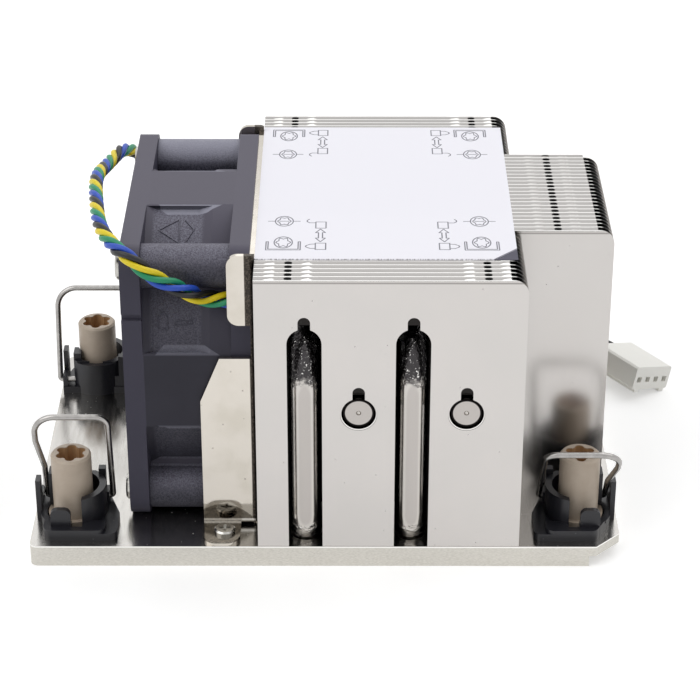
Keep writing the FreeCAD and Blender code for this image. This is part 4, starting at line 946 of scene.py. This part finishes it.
class Finishes(Enum):
    """Every finish on the cooler."""

    FIN_FRONT = FinSheet("fin_sheet_front", holes=((PIPE_X[1], 35.0), (PIPE_X[3], 35.0)))
    FIN_MIDDLE = FinSheet("fin_sheet_middle", face=STACK_FRONT + MIDDLE_BANK * FIN_PITCH,
                          back=17.54, right=56.6, colour=tint(197, 193, 190),
                          slots=(SLOT_LEFT, SLOT_RIGHT, SLOT_LONG), crimp_highlight_strength=0.35)
    FIN_REAR = FinSheet("fin_sheet_rear", face=STACK_FRONT + REAR_BANK * FIN_PITCH,
                        back=STACK_REAR, holes=((PIPE_X[0], 50.3), (PIPE_X[2], 50.3)))
    BASE = PlatedBase("plated_base")
    PIPE = PlatedPipe("plated_pipe")
    BRACKET = BracketSheet("bracket_sheet")
    FAN = FanPlastic("fan_plastic")
    IMPELLER = MouldedPlastic("impeller_plastic", tint(20, 20, 22), roughness=0.36,
                              grain=0.012, grain_scale=1.4)
    RETAINER = MouldedPlastic("retainer_plastic", tint(34, 34, 40), roughness=0.28,
                              grain=0.012, grain_scale=1.6, dust=0.25)
    NUT = NutPlastic("nut_plastic")
    PLUG = MouldedPlastic("plug_plastic", tint(254, 253, 247), roughness=0.34, grain=0.015,
                          grain_scale=1.2, shade=0.97)
    LABEL = PrintedFilm("label_film")
    BACKING = MouldedPlastic("label_backing", tint(88, 86, 102), roughness=0.5, grain=0.01,
                             grain_scale=1.2, specular=0.3)
    WIRE = DrawnWire("spring_wire")
    SCREW = TurnedSteel("screw_steel", tint(206, 204, 199), 0.16)
    MOTOR = TurnedSteel("motor_steel", tint(150, 149, 147), 0.3)
    BEARING = TurnedSteel("bearing_steel", tint(196, 195, 192), 0.14)
    MAGNET = MouldedPlastic("magnet_ferrite", tint(52, 50, 50), roughness=0.6,
                            grain_scale=3.0, specular=0.4)
    WINDING = WoundWire("enamelled_copper")
    BOARD = BoardMask("board_mask")
    CONTACT = TurnedSteel("tinned_contact", tint(188, 186, 180), 0.24)
    YELLOW = Insulation("insulation_yellow", tint(248, 224, 30))
    GREEN = Insulation("insulation_green", tint(26, 150, 104))
    BLUE = Insulation("insulation_blue", tint(38, 84, 200))
    BLACK = Insulation("insulation_black", tint(20, 20, 22))


def at_corners(piece: str) -> tuple[str, ...]:
    """Names of a piece that stands at all four corners of the plate."""
    return tuple(f"{piece}_{end}_{side}" for end in ("front", "rear")
                 for side in ("left", "right"))


NODE_FINISHES: dict[Finishes, tuple[str, ...]] = {
    Finishes.BASE: ("base_plate",),
    Finishes.PIPE: tuple(f"heat_pipe_{number}" for number in range(1, 5)),
    Finishes.FIN_FRONT: ("fins_front_bank",),
    Finishes.FIN_MIDDLE: ("fins_middle_bank",),
    Finishes.FIN_REAR: ("fins_rear_bank",),
    Finishes.LABEL: ("label_sheet",),
    Finishes.FAN: ("fan_frame",),
    Finishes.IMPELLER: ("impeller",),
    Finishes.MOTOR: ("rotor_yoke", "stator_core"),
    Finishes.MAGNET: ("magnet_ring",),
    Finishes.WINDING: ("stator_coils",),
    Finishes.BEARING: ("bearings", "fan_shaft"),
    Finishes.BOARD: ("fan_board",),
    Finishes.BRACKET: ("fan_bracket",),
    Finishes.SCREW: ("fan_screws", "foot_screws"),
    Finishes.PLUG: ("plug_housing",),
    Finishes.CONTACT: ("plug_contacts",),
    Finishes.RETAINER: at_corners("retainer"),
    Finishes.NUT: at_corners("nut"),
    Finishes.WIRE: at_corners("wire"),
}


# ---------------------------------------------------------------- meshes

def add_piece(name: str, data: bpy.types.ID) -> bpy.types.Object:
    """Put a mesh, a curve, a lamp or a camera into the scene.

    Args:
        name: the object's name.
        data: what it shows.

    Returns:
        The object, at the origin.
    """
    piece = bpy.data.objects.new(name, data)
    bpy.context.scene.collection.objects.link(piece)
    return piece


def add_shape(name: str, shape: bmesh.types.BMesh, *finishes: Finishes) -> bpy.types.Object:
    """Turn a shape into a piece.

    Args:
        name: the piece's name.
        shape: its faces, which are freed.
        finishes: what its material slots hold.

    Returns:
        The piece.
    """
    mesh = bpy.data.meshes.new(name)
    shape.to_mesh(mesh)
    shape.free()
    for finish in finishes:
        mesh.materials.append(finish.value.material())
    return add_piece(name, mesh)


def skin(shape: bmesh.types.BMesh, rings: Sequence[Sequence[bmesh.types.BMVert]],
         finish: int = 0, smooth: bool = False) -> None:
    """Close a tube over its rings.

    Args:
        shape: what the faces are added to.
        rings: as many vertices in each.
        finish: place of the faces' material.
        smooth: whether the tube's sides are shaded smooth.
    """
    for first, second in zip(rings, rings[1:]):
        for side in range(len(first)):
            after = (side + 1) % len(first)
            face = shape.faces.new((first[side], first[after], second[after], second[side]))
            face.material_index = finish
            face.smooth = smooth
    for cap in (rings[0][::-1], rings[-1]):
        shape.faces.new(cap).material_index = finish


def carried(ways: Sequence[Vector]) -> Iterator[tuple[Vector, Vector]]:
    """Carry a crosswise pair of directions along a line without twist.

    Args:
        ways: the line's direction at each place.

    Yields:
        The pair at each place.
    """
    before = ways[0]
    across = before.orthogonal().normalized()
    for ahead in ways:
        across = before.rotation_difference(ahead) @ across
        across = (across - ahead * across.dot(ahead)).normalized()
        before = ahead
        yield across, ahead.cross(across)


def eased(share: float) -> float:
    """Ease a share in and out, with nothing below 0."""
    share = max(0.0, share)
    return share * share * (3 - 2 * share)


# ---------------------------------------------------------------- sub-assemblies

@dataclass
class Studio:
    """The pale floor, the soft lamps and the camera.

    The camera's eye is in millimetres, and the floor and the lamps are in metres.
    """

    eye: Point = (4.427, -436.427, 267.485)
    turn: Point = (61.228, -0.0767, -0.0185)
    lens: float = 122.664
    floor_half: float = 1.6
    floor_height: float = -2e-5
    paper: Colour = (0.92, 0.92, 0.92)
    room: float = 0.48
    floor_glow: float = 0.36
    lamps: tuple[tuple[Point, float, float], ...] = (
        ((-0.75, -0.35, 0.9), 1.0, 4.2),
        ((0.7, 0.2, 0.95), 1.0, 3.0),
        ((0.0, 0.7, 0.9), 1.0, 2.2),
    )

    def build(self) -> None:
        """Add the camera, the floor, the room and the lamps."""
        self.camera()
        self.floor()
        self.world()
        for number, lamp in enumerate(self.lamps):
            self.lamp(number, *lamp)
        bpy.context.scene.view_settings.view_transform = "Standard"
        LOG.info("studio: camera, floor and %d lamps", len(self.lamps))

    def camera(self) -> None:
        """Add the camera."""
        data = bpy.data.cameras.new("camera")
        data.lens = self.lens
        data.clip_end = 20.0
        camera = add_piece("camera", data)
        camera.location = Vector(self.eye) * MM
        camera.rotation_euler = tuple(math.radians(angle) for angle in self.turn)
        bpy.context.scene.camera = camera

    def floor(self) -> None:
        """Add the pale floor, which keeps the shadow."""
        corners = ((-1, -1), (1, -1), (1, 1), (-1, 1))
        mesh = bpy.data.meshes.new("floor")
        mesh.from_pydata([(x * self.floor_half, y * self.floor_half, self.floor_height)
                          for x, y in corners], [], [(0, 1, 2, 3)])
        floor = add_piece("floor", mesh)
        material = bpy.data.materials.new("pale_floor")
        material.use_nodes = True
        graph = Graph(material.node_tree)
        paper = graph.node("ShaderNodeBsdfDiffuse", {"Color": self.paper})
        glow = graph.node("ShaderNodeEmission", {
            "Color": WHITE, "Strength": self.seen(graph) * self.floor_glow})
        both = graph.node("ShaderNodeAddShader", {0: paper.outputs[0], 1: glow.outputs[0]})
        graph.node("ShaderNodeOutputMaterial", {"Surface": both.outputs[0]})
        mesh.materials.append(material)

    def seen(self, graph: Graph) -> Signal:
        """1 for a ray that the camera, a gloss or a glass sends, otherwise 0."""
        path = graph.node("ShaderNodeLightPath")
        camera, glossy, through = (Signal(graph, path.outputs[name]) for name in (
            "Is Camera Ray", "Is Glossy Ray", "Is Transmission Ray"))
        return camera.most(glossy).most(through)

    def world(self) -> None:
        """Give the room a plain level of light, seen as white."""
        world = bpy.data.worlds.new("room")
        bpy.context.scene.world = world
        world.use_nodes = True
        graph = Graph(world.node_tree)
        strength = self.room + self.seen(graph) * (1.0 - self.room)
        glow = graph.node("ShaderNodeBackground", {"Color": WHITE, "Strength": strength})
        graph.node("ShaderNodeOutputWorld", {"Surface": glow.outputs[0]})

    def lamp(self, number: int, place: Point, size: float, power: float) -> None:
        """Add one soft lamp that faces the cooler.

        Args:
            number: of the lamp.
            place: in metres.
            size: of its square face, in metres.
            power: in watts.
        """
        data = bpy.data.lights.new(f"lamp_{number}", "AREA")
        data.size = size
        data.energy = power
        lamp = add_piece(f"lamp_{number}", data)
        lamp.location = place
        lamp.rotation_euler = (-Vector(place)).to_track_quat("-Z", "Y").to_euler()


@dataclass
class Lead:
    """The fan's lead: four insulated wires, twisted, from the fan to their plug."""

    route: tuple[Point, ...] = (
        (-18.3, -28.1, 54.3), (-22.8, -28.1, 54.3), (-26.1, -32.2, 58.1), (-32.3, -33.6, 61.6),
        (-36.8, -33.8, 66.2), (-39.8, -30.2, 66.5), (-43.5, -21.8, 66.5), (-45.5, -8.0, 66.0),
        (-46.9, 6.0, 64.9), (-46.0, 21.0, 60.6), (-43.0, 33.0, 60.0), (-36.5, 40.0, 51.0),
        (-30.0, 44.0, 37.0), (-24.5, 47.0, 19.5), (-18.5, 49.5, 6.5), (-10.5, 51.0, 1.5),
        (1.0, 52.0, 1.5), (18.0, 52.7, 1.5), (33.0, 52.7, 1.5), (45.0, 52.2, 1.6),
        (55.2, 50.9, 2.8), (62.6, 46.3, 4.47), (65.0, 40.91, 4.47))
    length: float = 246.1
    diameter: float = 2.8
    wire_radius: float = 0.6
    lay_radius: float = 0.84
    lay_length: float = 13.0
    loose_lay: float = 17.5
    loose_radius: float = 1.15
    loose_length: float = 34.0
    first_turn: float = 0.43
    row: Point = (0.7942, 0.5458, -0.2672)
    row_pitch: float = 2.1
    fan_out: float = 18.0
    arch: float = 1.5
    sides: int = 12
    step: float = 0.7
    colours: tuple[Finishes, ...] = (Finishes.YELLOW, Finishes.GREEN, Finishes.BLUE,
                                     Finishes.BLACK)

    def centreline(self) -> list[Vector]:
        """Read the route's smooth line.

        Returns:
            Points along its NURBS spline, in metres.
        """
        curve = bpy.data.curves.new("lead_route", "CURVE")
        curve.dimensions = "3D"
        curve.resolution_u = 24
        spline = curve.splines.new("NURBS")
        spline.points.add(len(self.route) - 1)
        for point, place in zip(spline.points, self.route):
            point.co = (*(Vector(place) * MM), 1.0)
        spline.order_u = 3
        spline.use_endpoint_u = True
        carrier = add_piece("lead_route", curve)
        mesh = bpy.data.meshes.new_from_object(carrier)
        points = [vertex.co.copy() for vertex in mesh.vertices]
        bpy.data.objects.remove(carrier)
        bpy.data.curves.remove(curve)
        bpy.data.meshes.remove(mesh)
        return points

    def stations(self, line: Sequence[Vector]) -> list[tuple[float, Vector, Vector]]:
        """Even places along the line.

        Args:
            line: its points.

        Returns:
            The distance from the start, the place and the direction at each, in metres.
        """
        reach = [0.0]
        for before, after in zip(line, line[1:]):
            reach.append(reach[-1] + (after - before).length)
        count = round(reach[-1] / (self.step * MM))
        found, index = [], 0
        for number in range(count + 1):
            distance = reach[-1] * number / count
            while index < len(line) - 2 and reach[index + 1] < distance:
                index += 1
            share = (distance - reach[index]) / (reach[index + 1] - reach[index])
            place = line[index].lerp(line[index + 1], min(1.0, max(0.0, share)))
            found.append((distance, place, (line[index + 1] - line[index]).normalized()))
        return found

    def wire_lines(self, line: Sequence[Vector]) -> list[list[Vector]]:
        """Where each of the four wires runs round the line.

        Args:
            line: the lead's centreline.

        Returns:
            One run of points for each wire.
        """
        stations = self.stations(line)
        end = stations[-1][0]
        lines: list[list[Vector]] = [[] for _ in self.colours]
        turn, passed = 2 * math.pi * self.first_turn, 0.0
        middle = (len(lines) - 1) / 2
        crosswise = carried([ahead for _, _, ahead in stations])
        for (distance, place, _), (across, left) in zip(stations, crosswise):
            spread = eased(1.0 - (end - distance) / (self.fan_out * MM))
            loose = eased(1.0 - distance / (self.loose_length * MM))
            lay = self.lay_length + loose * (self.loose_lay - self.lay_length)
            reach = self.lay_radius + loose * (self.loose_radius - self.lay_radius)
            turn -= 2 * math.pi * (distance - passed) / (lay * MM)
            passed = distance
            for number, run in enumerate(lines):
                angle = turn - 2 * math.pi * number / len(lines)
                twisted = (across * math.cos(angle) + left * math.sin(angle)) * reach
                splayed = Vector(self.row) * (number - middle) * self.row_pitch
                splayed.z += 4 * spread * (1 - spread) * self.arch
                run.append(place + twisted.lerp(splayed, spread) * MM)
        return lines

    def tube(self, shape: bmesh.types.BMesh, run: Sequence[Vector], finish: int) -> None:
        """Add one closed tube.

        Args:
            shape: what it is added to.
            run: the points that it follows.
            finish: the place of its material.
        """
        last = len(run) - 1
        ways = [(run[min(number + 1, last)] - run[max(number - 1, 0)]).normalized()
                for number in range(last + 1)]
        angles = [2 * math.pi * side / self.sides for side in range(self.sides)]
        rings = [[shape.verts.new(place + (across * math.cos(angle) + left * math.sin(angle))
                                  * self.wire_radius * MM) for angle in angles]
                 for place, (across, left) in zip(run, carried(ways))]
        skin(shape, rings, finish, True)

    def build(self, frame: dict) -> None:
        """Args:
            frame: the loaded frame; not used.
        """
        line = self.centreline()
        shape = bmesh.new()
        for number, run in enumerate(self.wire_lines(line)):
            self.tube(shape, run, number)
        lead = add_shape("fan_lead", shape, *self.colours)
        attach(lead, "cooler")
        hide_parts("fan_cable")
        tuple(Vector(self.route[0]) * MM)
        [tuple(point) for point in line]
        LOG.info("fan_lead: %d wires along %d points", len(self.colours), len(line))


@dataclass
class FanMarks:
    """The arrows moulded in relief on the fan's sunk panels."""

    radius: float = 29.98
    rise: float = 0.2
    width: float = 0.26
    crest_share: float = 0.6
    step: float = 0.6
    lines: tuple[tuple[Pair, ...], ...] = (
        ((-32.8, -26.4), (-28.9, -21.2), (-28.7, -32.4), (-32.8, -26.4)),
        ((-27.7, -21.4), (-25.9, -26.2), (-27.4, -31.6)),
        ((-31.6, -59.2), (-32.5, -61.4), (-32.5, -66.0), (-30.7, -66.0), (-30.7, -61.2),
         (-31.6, -59.2)),
        ((-29.2, -63.1), (-25.9, -62.5), (-25.9, -63.9), (-29.2, -64.4), (-29.2, -63.1)),
    )

    def place(self, along: float, angle: float, height: float) -> Vector:
        """A point over the panel.

        Args:
            along: distance along the fan's axis.
            angle: degrees about the axis from straight up.
            height: over the panel.

        Returns:
            The point, in millimetres.
        """
        turn, reach = math.radians(angle), self.radius + height
        return Vector((along, FAN_AXIS[0] + reach * math.sin(turn),
                       FAN_AXIS[1] + reach * math.cos(turn)))

    def ridge(self, shape: bmesh.types.BMesh, start: Pair, end: Pair) -> None:
        """Add one straight closed ridge.

        Args:
            shape: what it is added to.
            start: distance and angle of one end.
            end: distance and angle of the other end.
        """
        run = self.place(*end, 0.0) - self.place(*start, 0.0)
        count = max(1, round(run.length / self.step))
        rings = []
        for number in range(count + 1):
            spot = [low + (high - low) * number / count for low, high in zip(start, end)]
            low, high = self.place(*spot, 0.0), self.place(*spot, self.rise)
            side = run.normalized().cross(high - low).normalized() * self.width / 2
            edge = side * self.crest_share
            rings.append([shape.verts.new(corner * MM) for corner in (
                low - side, low + side, high + edge, high - edge)])
        skin(shape, rings)

    def build(self) -> None:
        """Make every ridge one piece on the cooler."""
        shape = bmesh.new()
        for line in self.lines:
            for start, end in zip(line, line[1:]):
                self.ridge(shape, start, end)
        bmesh.ops.recalc_face_normals(shape, faces=shape.faces)
        marks = add_shape("fan_marks", shape, Finishes.FAN)
        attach(marks, "cooler")
        LOG.info("fan_marks: %d lines", len(self.lines))


@dataclass
class LabelCorner:
    """The dark corner of the label's backing, beside the label's cut corner."""

    cut: float = 4.6
    lift: float = 0.005
    thickness: float = 0.09
    margin: float = 0.12
    edge: float = 0.015

    def build(self) -> None:
        """Lay the small triangle over the fins, against the cut."""
        low, high = (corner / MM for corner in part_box("label_sheet"))
        right, front, leg = high.x, low.y, self.cut - self.margin
        outline = ((right - leg, front), (right, front), (right, front + leg))
        shape = bmesh.new()
        skin(shape, [[shape.verts.new(Vector((x, y, low.z + lift)) * MM) for x, y in outline]
                     for lift in (self.lift, self.thickness)])
        bmesh.ops.bevel(shape, geom=shape.edges[:], offset=self.edge * MM, segments=1,
                        affect="EDGES")
        corner_piece = add_shape("label_corner", shape, Finishes.BACKING)
        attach(corner_piece, "cooler")
        LOG.info("label_corner: %.1f mm cut", self.cut)


@dataclass
class LockingTabs:
    """The lanced tabs in the fins' top flanges, one each side of every locking slot."""

    fin_top: float = 64.0
    size: Point = (1.9, 0.95, 0.16)
    cells: tuple[int, int, int] = (6, 4, 2)
    crown: float = 2.6
    lift: float = 1.15
    sink: float = 0.75
    offsets: Pair = (-3.45, 3.15)
    runs: tuple[tuple[float, int, int], ...] = (
        (SLOT_LEFT, 0, 5), (SLOT_RIGHT, 0, 5), (SLOT_LEFT, 44, 3), (SLOT_RIGHT, 44, 3),
        (SLOT_LONG, MIDDLE_BANK, MIDDLE_FINS))

    def tree(self, start: Vector, count: int) -> bpy.types.NodeTree:
        """Build the node tree that lays one column of tabs.

        Args:
            start: middle of the first tab, in metres.
            count: how many tabs there are.

        Returns:
            The tree.
        """
        tree = bpy.data.node_groups.new("tab_column", "GeometryNodeTree")
        tree.interface.new_socket("Geometry", in_out="OUTPUT", socket_type="NodeSocketGeometry")
        graph = Graph(tree)
        length, width, rise = size = Vector(self.size) * MM
        line = graph.out(0, "GeometryNodeMeshLine", {
            "Count": count, "Start Location": start, "Offset": (0.0, FIN_PITCH * MM, 0.0)})
        block = graph.out("Mesh", "GeometryNodeMeshCube", {
            "Size": size, **{f"Vertices {axis}": cells for axis, cells in zip("XYZ", self.cells)}})
        x, y, z = graph.split(graph.out(0, "GeometryNodeInputPosition"))
        off = abs(y) / width
        slope = (x / length + 0.5) * (1 - off * off * self.crown)
        lift = graph.math("GREATER_THAN", z, 0.0) * rise * (slope * self.lift - self.sink)
        move = graph.out(0, "ShaderNodeCombineXYZ", {"Z": lift})
        shaped = graph.out(0, "GeometryNodeSetPosition", {"Geometry": block, "Offset": move})
        copies = graph.out(0, "GeometryNodeInstanceOnPoints", {"Points": line, "Instance": shaped})
        graph.node("NodeGroupOutput", {0: graph.out(0, "GeometryNodeRealizeInstances",
                                                    {0: copies})})
        return tree

    def column(self, x: float, start: int, count: int) -> bpy.types.Mesh:
        """Run the tree for one column.

        Args:
            x: the column's place along the fins.
            start: number of its first fin.
            count: how many fins it crosses.

        Returns:
            Its plain mesh.
        """
        y = STACK_FRONT + start * FIN_PITCH + (FIN_PITCH + FIN_SHEET) / 2
        carrier = add_piece("tab_carrier", bpy.data.meshes.new("tab_carrier"))
        modifier = carrier.modifiers.new("tabs", "NODES")
        modifier.node_group = self.tree(Vector((x, y, self.fin_top)) * MM, count)
        bpy.context.view_layer.update()
        ready = carrier.evaluated_get(bpy.context.evaluated_depsgraph_get())
        mesh = bpy.data.meshes.new_from_object(ready)
        bpy.data.node_groups.remove(modifier.node_group)
        bpy.data.objects.remove(carrier)
        return mesh

    def build(self) -> None:
        """Make every column one piece on the cooler."""
        whole = bmesh.new()
        for x, start, count in self.runs:
            for offset in self.offsets:
                column = self.column(x + offset, start, count)
                whole.from_mesh(column)
                bpy.data.meshes.remove(column)
        tabs = add_shape("fin_tabs", whole, Finishes.FIN_FRONT)
        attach(tabs, "cooler")
        LOG.info("fin_tabs: %d columns", len(self.runs) * len(self.offsets))


@dataclass
class Solids:
    """The frame's own solids, each in its finish."""

    finishes: dict[Finishes, tuple[str, ...]] = field(default_factory=lambda: NODE_FINISHES)

    def build(self, frame: dict) -> None:
        """Put one finish on every material slot of each solid.

        Args:
            frame: the loaded frame.
        """
        for finish, names in self.finishes.items():
            for name in names:
                for slot in frame["nodes"][name].material_slots:
                    slot.material = finish.value.material()
        LOG.info("solids: %d finishes", len(self.finishes))


def main() -> None:
    """Build the whole cooler."""
    logging.basicConfig(level=logging.INFO, format="%(name)s: %(message)s")
    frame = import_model()
    Studio().build()
    Lead().build(frame)
    FanMarks().build()
    LabelCorner().build()
    LockingTabs().build()
    Solids().build(frame)


if __name__ == "__main__":
    main()
